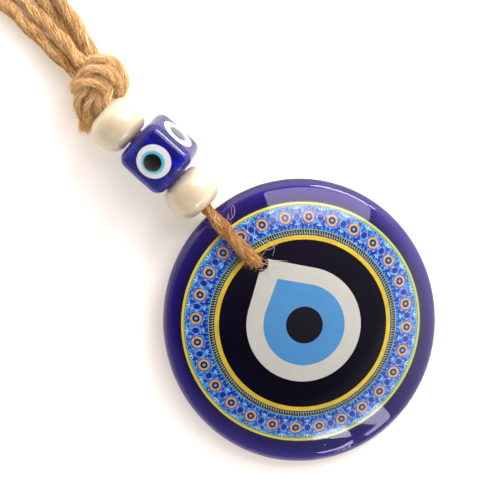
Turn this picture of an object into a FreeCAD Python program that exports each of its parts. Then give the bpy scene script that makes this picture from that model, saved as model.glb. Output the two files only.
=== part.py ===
import FreeCAD, Part
import Sketcher
import math
import os

from FreeCAD import Placement, Rotation, Vector

# Evil eye ornament: a domed glass disc with a printed eye, hung from jute cord through three beads.
# Millimetres. The ornament lies on a level surface. The origin is the centre of the disc's flat back,
# +Y runs from the disc towards the hanging loop and +Z is the upright of the surface.
# Two strands of cord pass through the disc's hole, one over its face and one under its back, so the
# disc leans on the lower strand: its hanging end is raised by the tilt in the sheet.

# ---------------------------------------------------------------- driving dimensions
DIMENSIONS = [
    # alias, value, meaning
    ("disc_diameter", 75.0, "glass disc across"),
    ("disc_thickness", 11.4, "glass disc through the middle of the dome"),
    ("dome_radius", 101.5, "sphere of the domed front"),
    ("rim_round", 3.0, "round from the dome to the widest line of the rim"),
    ("disc_tilt", 3.0, "lean of the disc on the cord, degrees about X"),
    ("hole_along", 20.4, "hole centre from the disc centre, along the disc"),
    ("hole_aside", -0.5, "hole centre from the disc centre, across the disc"),
    ("hole_diameter", 3.3, "hole for one strand"),
    ("hole_lip", 0.8, "round of both ends of the hole"),
    ("print_layer", 0.06, "thickness of one fired print layer"),
    ("border_outer_radius", 32.2, "outer edge of the outer yellow line"),
    ("band_outer_radius", 31.4, "outer edge of the patterned band"),
    ("band_inner_radius", 25.15, "inner edge of the patterned band"),
    ("chain_inner_radius", 23.55, "inner edge of the chain ring"),
    ("border_inner_radius", 22.45, "inner edge of the inner yellow line"),
    ("flower_count", 28, "flowers round the band"),
    ("flower_radius", 1.6, "one flower"),
    ("flower_orbit", 28.4, "circle that the flowers sit on"),
    ("flower_start", 1.0, "first flower round from the disc's own X, degrees"),
    ("white_radius", 15.3, "round part of the white drop"),
    ("white_tip_along", 20.7, "tip of the white drop, along the disc"),
    ("white_tip_aside", 1.0, "tip of the white drop, across the disc"),
    ("iris_radius", 10.85, "round part of the blue drop"),
    ("iris_tip_along", 14.1, "tip of the blue drop, along the disc"),
    ("iris_tip_aside", 1.1, "tip of the blue drop, across the disc"),
    ("pupil_radius", 4.9, "pupil"),
    ("bead_diameter", 14.8, "round bead across"),
    ("bead_length", 11.5, "round bead along its hole"),
    ("bead_end_diameter", 10.6, "round bead's end face"),
    ("bead_band", 3.0, "straight waist of the round bead"),
    ("bead_bore", 6.8, "bore of every bead"),
    ("bead_lip", 1.8, "round of a round bead's bore"),
    ("cube_side", 14.0, "glass cube bead"),
    ("cube_round", 2.6, "edge round of the cube bead"),
    ("cube_lip", 0.8, "round of the cube bead's bore"),
    ("cube_roll", -21.0, "turn of the cube bead about the cord, degrees"),
    ("eye_inlay", 0.5, "depth of an eye's white spot in the cube"),
    ("eye_layer", 0.12, "height of each dot of an eye"),
    ("eye_white_radius", 4.75, "white spot"),
    ("eye_iris_radius", 3.4, "light blue spot"),
    ("eye_pupil_radius", 2.35, "black spot"),
    ("eye_drift", 0.35, "how far each spot sits off the one below it"),
    ("strand_diameter", 2.6, "hard core of a strand squeezed round the disc"),
    ("loop_diameter", 3.2, "strand of the hanging loop"),
    ("core_diameter", 4.2, "two strands squeezed together in the beads"),
    ("tail_diameter", 3.0, "cut end of a strand"),
    ("knot_width", 14.8, "knot across the cord"),
    ("knot_length", 11.2, "knot along the cord"),
    ("knot_height", 11.2, "knot above the surface"),
]

# Where each bead sits on the surface, and which way its hole points, in degrees from +Y.
LOWER_BEAD = {"at": (-4.47, 44.84), "heading": -8.0}
CUBE_BEAD = {"at": (-5.77, 58.34), "heading": -13.5}
UPPER_BEAD = {"at": (-10.5, 70.93), "heading": -13.0}
KNOT = {"at": (-7.8, 83.5), "heading": -20.0}

# The strand through the disc lies in one upright plane. Each point is (distance from the hole
# towards the bead, height above the surface).
STRAND_HEADING = -9.4
STRAND_START = (-0.5, 19.9)
FRONT_STRAND = [(22.0, 8.7), (18.7, 8.75), (14.8, 10.95), (7.5, 12.55), (0.0, 13.9)]
BACK_STRAND = [(0.47, 1.38), (8.2, 1.42), (16.5, 1.36), (20.3, 6.05), (22.0, 6.1)]
STRAND_BEND = 2.6          # centre line radius where the strand turns over an edge of the glass

# Routes of the free cords: x, y and height above the surface.
OUTER_LOOP = [(-11.2, 87.6, 4.4), (-12.7, 96.6, 2.5), (-15.2, 105.4, 1.75), (-18.3, 116.0, 1.62),
              (-21.9, 127.5, 1.62), (-24.1, 139.0, 1.62), (-24.0, 150.4, 1.62), (-18.3, 158.9, 1.62),
              (-8.8, 162.1, 1.62), (0.9, 159.3, 1.62), (6.8, 151.2, 1.62), (7.3, 141.0, 1.62),
              (4.6, 129.6, 1.62), (0.4, 118.4, 1.8), (-3.7, 107.0, 3.6), (-5.1, 97.0, 4.9),
              (-5.6, 88.2, 6.3)]
INNER_LOOP = [(-9.2, 88.2, 7.4), (-9.6, 96.9, 4.4), (-11.5, 105.7, 1.9), (-14.4, 116.2, 1.62),
              (-17.8, 127.6, 1.62), (-20.0, 139.6, 1.62), (-19.4, 149.4, 1.62), (-15.4, 155.2, 1.62),
              (-8.7, 157.7, 1.62), (-1.9, 155.4, 1.62), (2.4, 149.4, 1.62), (3.1, 139.8, 1.62),
              (0.6, 129.4, 1.62), (-3.3, 118.6, 1.62), (-6.5, 107.6, 1.62), (-7.2, 97.4, 1.75),
              (-8.0, 88.2, 3.6)]
LONG_TAIL = [(-14.6, 81.8, 3.6), (-16.9, 78.3, 2.0), (-17.9, 73.7, 1.55)]
SHORT_TAIL = [(-13.8, 81.8, 7.4), (-15.5, 79.7, 6.1), (-16.5, 77.1, 5.0)]
CORE_IN_KNOT = (-9.6, 82.0, 7.0)

doc = FreeCAD.newDocument("evil_eye_ornament")


# ---------------------------------------------------------------- the sheet
def make_sheet():
    sheet = doc.addObject("Spreadsheet::Sheet", "sizes")
    for row, (alias, value, meaning) in enumerate(DIMENSIONS, start=1):
        sheet.set("A%d" % row, meaning)
        sheet.set("B%d" % row, str(value))
        sheet.setAlias("B%d" % row, alias)
    doc.recompute()
    return sheet


sizes = make_sheet()


def size(alias):
    return float(sizes.get(alias))


def bind(target, path, expression):
    """Tie one property or constraint to the sheet; bare aliases are written in braces."""
    target.setExpression(path, expression.replace("{", "sizes.").replace("}", ""))


# ---------------------------------------------------------------- sketch helpers
def origin_part(body, role):
    return next(item for item in body.Origin.OriginFeatures if item.Role == role)


def new_body(name):
    body = doc.addObject("PartDesign::Body", name)
    body.Label = name
    return body


def new_sketch(body, name, role):
    sketch = body.newObject("Sketcher::SketchObject", name)
    sketch.AttachmentSupport = [(origin_part(body, role), "")]
    sketch.MapMode = "FlatFace"
    return sketch


def flat(x, y):
    return Vector(x, y, 0)


def arc(cx, cy, radius, start, end):
    """Counter-clockwise arc, angles in degrees."""
    circle = Part.Circle(flat(cx, cy), Vector(0, 0, 1), radius)
    return Part.ArcOfCircle(circle, math.radians(start), math.radians(end))


def driven(sketch, name, kind, where, value, expression):
    """A dimension of the sketch that follows the sheet."""
    index = sketch.addConstraint(Sketcher.Constraint(kind, *where, value))
    sketch.renameConstraint(index, name)
    bind(sketch, "Constraints." + name, expression)


def relate(sketch, *rules):
    for kind, *where in rules:
        sketch.addConstraint(Sketcher.Constraint(kind, *where))


def revolve(body, sketch, name):
    feature = body.newObject("PartDesign::Revolution", name)
    feature.Profile = sketch
    feature.ReferenceAxis = (sketch, ["V_Axis"])
    feature.Angle = 360.0
    return feature


def round_edges(body, base, name, chosen, expression):
    """Fillet the edges of the base feature that the test picks."""
    doc.recompute()
    edges = ["Edge%d" % (i + 1) for i, edge in enumerate(base.Shape.Edges) if chosen(edge)]
    feature = body.newObject("PartDesign::Fillet", name)
    feature.Base = (base, edges)
    bind(feature, "Radius", expression)
    return feature


def cut_circle(body, name, role, centre, radius_expression, centre_expressions=None):
    """A round pocket through the whole body, both ways from an origin plane."""
    sketch = new_sketch(body, name + "_outline", role)
    sketch.addGeometry(Part.Circle(flat(*centre), Vector(0, 0, 1), 1.0), False)
    driven(sketch, "round", "Radius", (0,), 1.0, radius_expression)
    if centre_expressions:
        driven(sketch, "aside", "DistanceX", (-1, 1, 0, 3), centre[0], centre_expressions[0])
        driven(sketch, "along", "DistanceY", (-1, 1, 0, 3), centre[1], centre_expressions[1])
    else:
        relate(sketch, ("Coincident", 0, 3, -1, 1))
    pocket = body.newObject("PartDesign::Pocket", name)
    pocket.Profile = sketch
    pocket.Midplane = True
    pocket.Type = "ThroughAll"
    return pocket


# ---------------------------------------------------------------- the glass disc
def rim_height():
    """Height of the rim's widest line over the flat back, where the round meets the dome."""
    inner = size("disc_diameter") / 2 - size("rim_round")
    reach = size("dome_radius") - size("rim_round")
    return math.sqrt(reach ** 2 - inner ** 2) + size("disc_thickness") - size("dome_radius")


def make_disc():
    body = new_body("glass_disc")
    radius, thickness = size("disc_diameter") / 2, size("disc_thickness")
    dome, rim, widest = size("dome_radius"), size("rim_round"), rim_height()
    meet = math.degrees(math.atan2(widest - thickness + dome, radius - rim))
    sketch = new_sketch(body, "disc_section", "XZ_Plane")
    sketch.addGeometry([
        Part.LineSegment(flat(0, 0), flat(radius - widest, 0)),
        arc(radius - widest, widest, widest, -90, 0),
        arc(radius - rim, widest, rim, 0, meet),
        arc(0, thickness - dome, dome, meet, 90),
        Part.LineSegment(flat(0, thickness), flat(0, 0)),
    ], False)
    relate(sketch, ("Coincident", 0, 1, -1, 1), ("Horizontal", 0), ("Vertical", 4),
           ("Coincident", 4, 2, 0, 1), ("Coincident", 3, 2, 4, 1), ("PointOnObject", 3, 3, -2),
           ("Tangent", 0, 2, 1, 1), ("Tangent", 1, 2, 2, 1), ("Tangent", 2, 2, 3, 1),
           ("Horizontal", 1, 3, 1, 2))
    driven(sketch, "half", "DistanceX", (-1, 1, 1, 2), radius, "{disc_diameter} / 2")
    driven(sketch, "thick", "DistanceY", (-1, 1, 3, 2), thickness, "{disc_thickness}")
    driven(sketch, "dome", "Radius", (3,), dome, "{dome_radius}")
    driven(sketch, "rim", "Radius", (2,), rim, "{rim_round}")
    revolve(body, sketch, "disc_blank")
    doc.recompute()
    blank = body.Shape.Volume

    hole_at = (size("hole_aside"), size("hole_along"))
    hole = cut_circle(body, "cord_hole", "XY_Plane", hole_at, "{hole_diameter} / 2",
                      ("{hole_aside}", "{hole_along}"))

    def hole_end(edge):
        box = edge.BoundBox
        near = math.hypot(box.Center.x - hole_at[0], box.Center.y - hole_at[1]) < 0.5
        return near and box.XLength > size("hole_diameter") * 0.9

    lips = round_edges(body, hole, "hole_lips", hole_end, "{hole_lip}")
    doc.recompute()
    if body.Shape.Volume > blank - 60.0:
        raise RuntimeError("the disc's hole cut nothing")
    body.Tip = lips
    return body


# ---------------------------------------------------------------- the fired print on the dome
def dome_layer(name, outer, inner, level):
    """A thin shell that follows the dome between two radii; inner is None for a full cap.
    Level 0 lies on the glass and level 1 on the layer below it."""
    body = new_body(name)
    middle = size("disc_thickness") - size("dome_radius")
    low = size("dome_radius") + level * size("print_layer")
    high = low + size("print_layer")
    far = size(outer)
    near = size(inner) if inner else 0.0
    edge = math.sqrt

    def spot(radius, across):
        return flat(across, middle + edge(radius ** 2 - across ** 2))

    def angle(radius, across):
        return math.degrees(math.acos(across / radius))

    sketch = new_sketch(body, name + "_section", "XZ_Plane")
    sketch.addGeometry([
        arc(0, middle, low, angle(low, far), angle(low, near)),
        Part.LineSegment(spot(low, near), spot(high, near)),
        arc(0, middle, high, angle(high, far), angle(high, near)),
        Part.LineSegment(spot(high, far), spot(low, far)),
    ], False)
    relate(sketch, ("Coincident", 0, 2, 1, 1), ("Coincident", 1, 2, 2, 2),
           ("Coincident", 2, 1, 3, 1), ("Coincident", 3, 2, 0, 1),
           ("Vertical", 1), ("Vertical", 3), ("PointOnObject", 0, 3, -2),
           ("Coincident", 2, 3, 0, 3))
    driven(sketch, "under", "Radius", (0,), low, "{dome_radius} + %d * {print_layer}" % level)
    driven(sketch, "over", "Radius", (2,), high, "{dome_radius} + %d * {print_layer}" % (level + 1))
    driven(sketch, "centre", "DistanceY", (0, 3, -1, 1), -middle, "{dome_radius} - {disc_thickness}")
    driven(sketch, "far", "DistanceX", (-1, 1, 0, 1), far, "{%s}" % outer)
    if inner:
        driven(sketch, "near", "DistanceX", (-1, 1, 0, 2), near, "{%s}" % inner)
    else:
        relate(sketch, ("PointOnObject", 0, 2, -2))
    revolve(body, sketch, name + "_shell")
    return body


def hole_punch(name):
    """A cylinder that clears the print off the hole and its lip."""
    punch = doc.addObject("Part::Cylinder", name)
    bind(punch, "Radius", "{hole_diameter} / 2 + {hole_lip}")
    bind(punch, "Height", "2 * {disc_thickness}")
    punch.Placement = Placement(Vector(size("hole_aside"), size("hole_along"), 0), Rotation())
    return punch


def drop_print(name, radius, tip_along, tip_aside, level):
    """A drop: a circle round the disc centre and its two tangents to a tip, laid on the dome."""
    cap = dome_layer(name + "_cap", "band_inner_radius", None, level)
    reach = math.hypot(size(tip_along), size(tip_aside))
    lean = math.degrees(math.atan2(size(tip_along), size(tip_aside)))
    half = math.degrees(math.acos(size(radius) / reach))
    holder = new_body(name + "_prism")
    sketch = new_sketch(holder, name + "_outline", "XY_Plane")
    touch = [Vector(size(radius) * math.cos(math.radians(a)), size(radius) * math.sin(math.radians(a)), 0)
             for a in (lean + half, lean - half)]
    tip = flat(size(tip_aside), size(tip_along))
    sketch.addGeometry([arc(0, 0, size(radius), lean + half, lean - half + 360),
                        Part.LineSegment(touch[1], tip), Part.LineSegment(tip, touch[0])], False)
    relate(sketch, ("Coincident", 0, 3, -1, 1), ("Tangent", 0, 2, 1, 1), ("Tangent", 2, 2, 0, 1),
           ("Coincident", 1, 2, 2, 1))
    driven(sketch, "round", "Radius", (0,), size(radius), "{%s}" % radius)
    driven(sketch, "aside", "DistanceX", (-1, 1, 1, 2), tip.x, "{%s}" % tip_aside)
    driven(sketch, "along", "DistanceY", (-1, 1, 1, 2), tip.y, "{%s}" % tip_along)
    pad = holder.newObject("PartDesign::Pad", name + "_pad")
    pad.Profile = sketch
    bind(pad, "Length", "2 * {disc_thickness}")
    both = doc.addObject("Part::Common", name + "_whole")
    both.Base, both.Tool = cap, holder
    shaped = doc.addObject("Part::Cut", name)
    shaped.Base, shaped.Tool = both, hole_punch(name + "_punch")
    shaped.Label = name
    return shaped


def flower_print(name):
    """The ring of round flowers, one layer above the band."""
    layer = dome_layer(name + "_layer", "band_outer_radius", "band_inner_radius", 1)
    punches = []
    for turn in range(int(size("flower_count"))):
        angle = math.radians(size("flower_start")) + 2 * math.pi * turn / size("flower_count")
        punch = doc.addObject("Part::Cylinder", "%s_punch_%d" % (name, turn))
        bind(punch, "Radius", "{flower_radius}")
        bind(punch, "Height", "2 * {disc_thickness}")
        orbit = size("flower_orbit")
        punch.Placement = Placement(Vector(orbit * math.cos(angle), orbit * math.sin(angle), 0), Rotation())
        punches.append(punch)
    ring = doc.addObject("Part::Compound", name + "_punches")
    ring.Links = punches
    flowers = doc.addObject("Part::Common", name)
    flowers.Base, flowers.Tool = layer, ring
    flowers.Label = name
    return flowers


# ---------------------------------------------------------------- the beads
def ring_edge(edge, radius):
    if edge.Degenerated:
        return False
    return isinstance(edge.Curve, Part.Circle) and abs(edge.Curve.Radius - radius) < 1e-3


def make_round_bead(name):
    """A glazed bead: a short straight waist between two arcs, and a bore with rounded lips."""
    body = new_body(name)
    half, bore, band = size("bead_length") / 2, size("bead_bore") / 2, size("bead_band") / 2
    waist, end = size("bead_diameter") / 2, size("bead_end_diameter") / 2
    crown = ((half - band) ** 2 + (waist - end) ** 2) / (2 * (waist - end))
    swing = math.degrees(math.asin((half - band) / crown))
    sketch = new_sketch(body, name + "_section", "XZ_Plane")
    sketch.addGeometry([
        Part.LineSegment(flat(bore, -half), flat(end, -half)),
        arc(waist - crown, -band, crown, -swing, 0),
        Part.LineSegment(flat(waist, -band), flat(waist, band)),
        arc(waist - crown, band, crown, 0, swing),
        Part.LineSegment(flat(end, half), flat(bore, half)),
        Part.LineSegment(flat(bore, half), flat(bore, -half)),
    ], False)
    relate(sketch, ("Coincident", 0, 2, 1, 1), ("Tangent", 1, 2, 2, 1), ("Tangent", 2, 2, 3, 1),
           ("Coincident", 3, 2, 4, 1), ("Coincident", 4, 2, 5, 1), ("Coincident", 5, 2, 0, 1),
           ("Horizontal", 0), ("Vertical", 2), ("Horizontal", 4), ("Vertical", 5), ("Equal", 1, 3))
    driven(sketch, "bore", "DistanceX", (-1, 1, 0, 1), bore, "{bead_bore} / 2")
    driven(sketch, "end", "DistanceX", (-1, 1, 0, 2), end, "{bead_end_diameter} / 2")
    driven(sketch, "waist", "DistanceX", (-1, 1, 2, 1), waist, "{bead_diameter} / 2")
    driven(sketch, "band_low", "DistanceY", (2, 1, -1, 1), band, "{bead_band} / 2")
    driven(sketch, "band_high", "DistanceY", (-1, 1, 2, 2), band, "{bead_band} / 2")
    driven(sketch, "half", "DistanceY", (0, 1, -1, 1), half, "{bead_length} / 2")
    blank = revolve(body, sketch, name + "_blank")
    lips = round_edges(body, blank, name + "_lips", lambda edge: ring_edge(edge, bore), "{bead_lip}")
    body.Tip = lips
    return body


def make_cube_glass():
    body = new_body("cube_bead_glass")
    side = size("cube_side")
    sketch = new_sketch(body, "cube_square", "XY_Plane")
    corner = [flat(x * side / 2, y * side / 2) for x, y in ((-1, -1), (1, -1), (1, 1), (-1, 1))]
    sketch.addGeometry([Part.LineSegment(corner[i], corner[(i + 1) % 4]) for i in range(4)], False)
    relate(sketch, *[("Coincident", i, 2, (i + 1) % 4, 1) for i in range(4)])
    relate(sketch, ("Horizontal", 0), ("Horizontal", 2), ("Vertical", 1), ("Vertical", 3),
           ("Symmetric", 0, 1, 1, 2, -1, 1))
    driven(sketch, "wide", "DistanceX", (0, 1, 0, 2), side, "{cube_side}")
    driven(sketch, "tall", "DistanceY", (1, 1, 1, 2), side, "{cube_side}")
    pad = body.newObject("PartDesign::Pad", "cube_block")
    pad.Profile = sketch
    pad.Midplane = True
    bind(pad, "Length", "{cube_side}")
    rounded = round_edges(body, pad, "cube_rounds", lambda edge: True, "{cube_round}")
    doc.recompute()
    block = body.Shape.Volume

    bore = cut_circle(body, "cube_bore", "XY_Plane", (0, 0), "{bead_bore} / 2")
    lips = round_edges(body, bore, "cube_lips", lambda edge: ring_edge(edge, size("bead_bore") / 2),
                       "{cube_lip}")
    seat_outline = new_sketch(body, "eye_seat_outline", "YZ_Plane")
    seat_outline.addGeometry(Part.Circle(flat(0, 0), Vector(0, 0, 1), size("eye_white_radius")), False)
    relate(seat_outline, ("Coincident", 0, 3, -1, 1))
    driven(seat_outline, "round", "Radius", (0,), size("eye_white_radius"), "{eye_white_radius}")
    bind(seat_outline, "AttachmentOffset.Base.z", "{cube_side} / 2 - {eye_inlay}")
    seat = body.newObject("PartDesign::Pocket", "eye_seat")
    seat.Profile = seat_outline
    seat.Reversed = True
    bind(seat, "Length", "2 * {eye_inlay}")
    doc.recompute()
    seats = body.newObject("PartDesign::PolarPattern", "eye_seats")
    seats.Originals = [seat]
    seats.Axis = (origin_part(body, "Z_Axis"), [""])
    seats.Angle = 360.0
    seats.Occurrences = 4
    body.Tip = seats
    doc.recompute()
    bored = math.pi * (size("bead_bore") / 2) ** 2 * side
    wells = 4 * math.pi * size("eye_white_radius") ** 2 * size("eye_inlay")
    if abs(block - body.Shape.Volume - bored - wells) > 0.1 * (bored + wells):
        raise RuntimeError("the cube bead's bore or eye seats are missing")
    return body


def eye_spots(name, radius, bottom, step):
    """One layer of all four eyes: a disc on each side of the cube, drifted a little to one side."""
    spots = []
    for turn in range(4):
        spot = doc.addObject("Part::Cylinder", "%s_%d" % (name, turn))
        bind(spot, "Radius", "{%s}" % radius)
        depth = "{eye_inlay} + {eye_layer}" if step == 0 else "{eye_layer}"
        bind(spot, "Height", depth)
        out = size("cube_side") / 2 + bottom
        drift = size("eye_drift") * step
        lean = Placement(Vector(), Rotation(Vector(0, 0, 1), 90 * turn))
        seat = Placement(Vector(out, -drift, 0.5 * drift), Rotation(Vector(0, 1, 0), 90))
        spot.Placement = lean.multiply(seat)
        spots.append(spot)
    group = doc.addObject("Part::Compound", name)
    group.Links = spots
    group.Label = name
    return group


# ---------------------------------------------------------------- the cord
def bend_radius(before, corner, after):
    """Largest neat radius for a corner: 0.45 of the shorter run over the tangent of half the turn."""
    shorter = min((corner - before).Length, (after - corner).Length)
    turn = (corner - before).getAngle(after - corner)
    return 0.45 * shorter / math.tan(turn / 2), turn


def route_wire(points, set_radii=None):
    """Straight runs joined by tangent arcs. set_radii gives the radius at points that an edge sets."""
    set_radii = set_radii or {}
    edges, reached, radii = [], points[0], []
    for index in range(1, len(points) - 1):
        before, corner, after = points[index - 1:index + 2]
        radius, turn = bend_radius(before, corner, after)
        radius = set_radii.get(index, radius)
        radii.append(round(radius, 1))
        into, out = (corner - before).normalize(), (after - corner).normalize()
        tangent = radius * math.tan(turn / 2)
        start, end = corner - into * tangent, corner + out * tangent
        inward = (out - into).normalize()
        middle = corner + inward * (radius / math.cos(turn / 2) - radius)
        edges.append(Part.LineSegment(reached, start).toShape())
        edges.append(Part.Arc(start, middle, end).toShape())
        reached = end
    edges.append(Part.LineSegment(reached, points[-1]).toShape())
    return Part.Wire(edges), radii


def make_cord(name, points, diameter, set_radii=None):
    wire, radii = route_wire(points, set_radii)
    route = doc.addObject("Part::Feature", name + "_route")
    route.Shape = wire
    section = doc.addObject("Part::Circle", name + "_section")
    bind(section, "Radius", "{%s} / 2" % diameter)
    section.Placement = Placement(points[0], Rotation(Vector(0, 0, 1), points[1] - points[0]))
    cord = doc.addObject("Part::Sweep", name)
    cord.Sections = [section]
    cord.Spine = (route, ["Edge%d" % (i + 1) for i in range(len(wire.Edges))])
    cord.Solid = True
    cord.Frenet = False
    cord.Label = name
    doc.recompute()
    expected = math.pi * (size(diameter) / 2) ** 2 * wire.Length
    print("%s: length %.1f, volume %.1f of %.1f, radii %s"
          % (name, wire.Length, cord.Shape.Volume, expected, radii))
    return cord


# ---------------------------------------------------------------- placing
def heading_vector(degrees):
    return Vector(math.sin(math.radians(degrees)), math.cos(math.radians(degrees)), 0)


tilt = math.radians(size("disc_tilt"))
# The disc touches the surface with the round of its back edge, so its back is this far above it.
BACK_HEIGHT = ((size("disc_diameter") / 2 - rim_height()) * math.sin(tilt)
               + rim_height() * (1 - math.cos(tilt)))


def above_surface(x, y, height):
    return Vector(x, y, height - BACK_HEIGHT)


def along_cord(spec, height, roll=0.0):
    """Placement that turns a bead's own Z to its heading and rolls it about its hole."""
    turn = (Rotation(Vector(0, 0, 1), -spec["heading"])
            .multiply(Rotation(Vector(1, 0, 0), -90))
            .multiply(Rotation(Vector(0, 0, 1), roll)))
    return Placement(above_surface(spec["at"][0], spec["at"][1], height), turn)


def strand_point(distance, height):
    spot = Vector(STRAND_START[0], STRAND_START[1], 0) + heading_vector(STRAND_HEADING) * distance
    return above_surface(spot.x, spot.y, height)


def bore_end(spec, height, way):
    half = size("bead_length") / 2 * way
    spot = Vector(spec["at"][0], spec["at"][1], 0) + heading_vector(spec["heading"]) * half
    return above_surface(spot.x, spot.y, height)


# ---------------------------------------------------------------- build
disc_pieces = [
    make_disc(),
    dome_layer("print_outer_border", "border_outer_radius", "band_outer_radius", 0),
    dome_layer("print_pattern_band", "band_outer_radius", "band_inner_radius", 0),
    flower_print("print_flowers"),
    dome_layer("print_chain_ring", "band_inner_radius", "chain_inner_radius", 0),
    dome_layer("print_inner_border", "chain_inner_radius", "border_inner_radius", 0),
    drop_print("print_white_drop", "white_radius", "white_tip_along", "white_tip_aside", 0),
    drop_print("print_blue_drop", "iris_radius", "iris_tip_along", "iris_tip_aside", 1),
    dome_layer("print_pupil", "pupil_radius", None, 2),
]
disc_lean = Placement(Vector(), Rotation(Vector(1, 0, 0), size("disc_tilt")))
for piece in disc_pieces:
    piece.Placement = disc_lean

BEAD_HEIGHT = size("bead_diameter") / 2
cube_flat = size("cube_side") / 2 - size("cube_round")
roll_angle = math.radians(abs(size("cube_roll")))
CUBE_HEIGHT = cube_flat * (math.cos(roll_angle) + math.sin(roll_angle)) + size("cube_round")

lower_bead = make_round_bead("lower_bead")
lower_bead.Placement = along_cord(LOWER_BEAD, BEAD_HEIGHT)
upper_bead = make_round_bead("upper_bead")
upper_bead.Placement = along_cord(UPPER_BEAD, BEAD_HEIGHT)

layer = size("eye_layer")
cube_pieces = [
    make_cube_glass(),
    eye_spots("cube_eye_whites", "eye_white_radius", -size("eye_inlay"), 0),
    eye_spots("cube_eye_irises", "eye_iris_radius", layer, 1),
    eye_spots("cube_eye_pupils", "eye_pupil_radius", 2 * layer, 2),
]
for piece in cube_pieces:
    piece.Placement = along_cord(CUBE_BEAD, CUBE_HEIGHT, size("cube_roll"))

strand_points = [strand_point(*spot) for spot in FRONT_STRAND + BACK_STRAND]
over_hole, under_hole = len(FRONT_STRAND) - 1, len(FRONT_STRAND)
edge_bends = {over_hole: STRAND_BEND, under_hole: STRAND_BEND,
              under_hole + 2: STRAND_BEND, under_hole + 3: STRAND_BEND}
disc_strand = make_cord("disc_strand", strand_points, "strand_diameter", edge_bends)

strand_end = strand_point(FRONT_STRAND[0][0], BEAD_HEIGHT)
between_height = (BEAD_HEIGHT + CUBE_HEIGHT) / 2
core_points = [strand_end, above_surface(-4.7, 50.9, between_height),
               above_surface(-8.1, 65.2, between_height),
               bore_end(UPPER_BEAD, BEAD_HEIGHT, 1.08), above_surface(*CORE_IN_KNOT)]
bead_core = make_cord("bead_core_cord", core_points, "core_diameter")

knot = doc.addObject("Part::Ellipsoid", "knot")
bind(knot, "Radius1", "{knot_height} / 2")
bind(knot, "Radius2", "{knot_width} / 2")
bind(knot, "Radius3", "{knot_length} / 2")
knot.Label = "knot"
knot.Placement = Placement(above_surface(KNOT["at"][0], KNOT["at"][1], size("knot_height") / 2),
                           Rotation(Vector(0, 0, 1), -KNOT["heading"]))

cords = [disc_strand, bead_core,
         make_cord("outer_loop_cord", [above_surface(*spot) for spot in OUTER_LOOP], "loop_diameter"),
         make_cord("inner_loop_cord", [above_surface(*spot) for spot in INNER_LOOP], "loop_diameter"),
         make_cord("long_tail", [above_surface(*spot) for spot in LONG_TAIL], "tail_diameter"),
         make_cord("short_tail", [above_surface(*spot) for spot in SHORT_TAIL], "tail_diameter")]

doc.recompute()

# ---------------------------------------------------------------- check and write
for item in doc.Objects:
    if "Invalid" in item.State or "Error" in item.State:
        raise RuntimeError("%s failed: %s" % (item.Name, item.State))

sub_parts = disc_pieces + [lower_bead, upper_bead] + cube_pieces + [knot] + cords
os.makedirs("parts", exist_ok=True)
for part in sub_parts:
    shape = part.Shape
    if shape.isNull() or not shape.isValid() or shape.Volume <= 0:
        raise RuntimeError("%s has no valid shape" % part.Label)
    shape.exportStep(os.path.join("parts", part.Label + ".step"))
    print("%s: %d solid, volume %.2f" % (part.Label, len(shape.Solids), shape.Volume))
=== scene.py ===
"""Looks for the evil eye ornament: a printed glass disc on knotted jute twine with three beads.

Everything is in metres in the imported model's frame. Sizes are given in millimetres and scaled by MM.
The disc's own coordinates are x across it, y towards the hanging loop and z out of its flat back.
"""

import math

import bpy
import numpy as np
from mathutils import Matrix, Vector


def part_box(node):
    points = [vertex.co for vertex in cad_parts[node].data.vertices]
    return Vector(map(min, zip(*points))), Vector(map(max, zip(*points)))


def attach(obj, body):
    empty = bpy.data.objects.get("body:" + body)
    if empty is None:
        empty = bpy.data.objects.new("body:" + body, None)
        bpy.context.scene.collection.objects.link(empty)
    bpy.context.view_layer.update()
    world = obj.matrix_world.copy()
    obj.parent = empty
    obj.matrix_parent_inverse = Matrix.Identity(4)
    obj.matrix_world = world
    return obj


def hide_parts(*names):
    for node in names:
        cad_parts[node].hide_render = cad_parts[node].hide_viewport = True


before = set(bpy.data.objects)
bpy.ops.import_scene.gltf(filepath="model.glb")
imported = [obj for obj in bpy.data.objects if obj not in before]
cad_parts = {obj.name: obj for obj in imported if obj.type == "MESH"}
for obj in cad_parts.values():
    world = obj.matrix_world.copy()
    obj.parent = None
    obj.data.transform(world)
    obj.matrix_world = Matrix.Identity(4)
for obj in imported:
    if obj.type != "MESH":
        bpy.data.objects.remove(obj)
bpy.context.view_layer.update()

MM = 0.001
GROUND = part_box("glass_disc")[0].z  # the surface that the ornament lies on
TILT = math.radians(3.0)  # the disc leans on the strand behind it


def on_ground(x, y, height):
    """A point in the frame from millimetres across, along and above the surface."""
    return Vector((x * MM, y * MM, height * MM + GROUND))


# ---------------------------------------------------------------- camera
VIEW_LEAN = (-2.298, 5.958)  # the view line's lean from upright, degrees, across and along
VIEW_CENTRE = (-0.10, 22.61)
VIEW_DISTANCE = 450.4
VIEW_ROLL = 55.5  # the picture's right is this far from -Y, degrees
LENS = 120.0


def make_camera():
    camera = bpy.data.objects.new("camera", bpy.data.cameras.new("camera"))
    bpy.context.scene.collection.objects.link(camera)
    back = Vector((*(math.tan(math.radians(lean)) for lean in VIEW_LEAN), 1)).normalized()
    along = Vector((0, 1, 0))
    along = (along - back * back.dot(along)).normalized()
    across = along.cross(back)
    roll = math.radians(VIEW_ROLL)
    right = across * math.sin(roll) - along * math.cos(roll)
    up = across * math.cos(roll) + along * math.sin(roll)
    axes = Matrix((right, up, back)).transposed().to_4x4()
    camera.matrix_world = Matrix.Translation(on_ground(*VIEW_CENTRE, 0) + back * VIEW_DISTANCE * MM) @ axes
    camera.data.lens = LENS
    camera.data.sensor_width = 36.0
    camera.data.clip_start = 0.01
    bpy.context.scene.camera = camera


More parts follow.
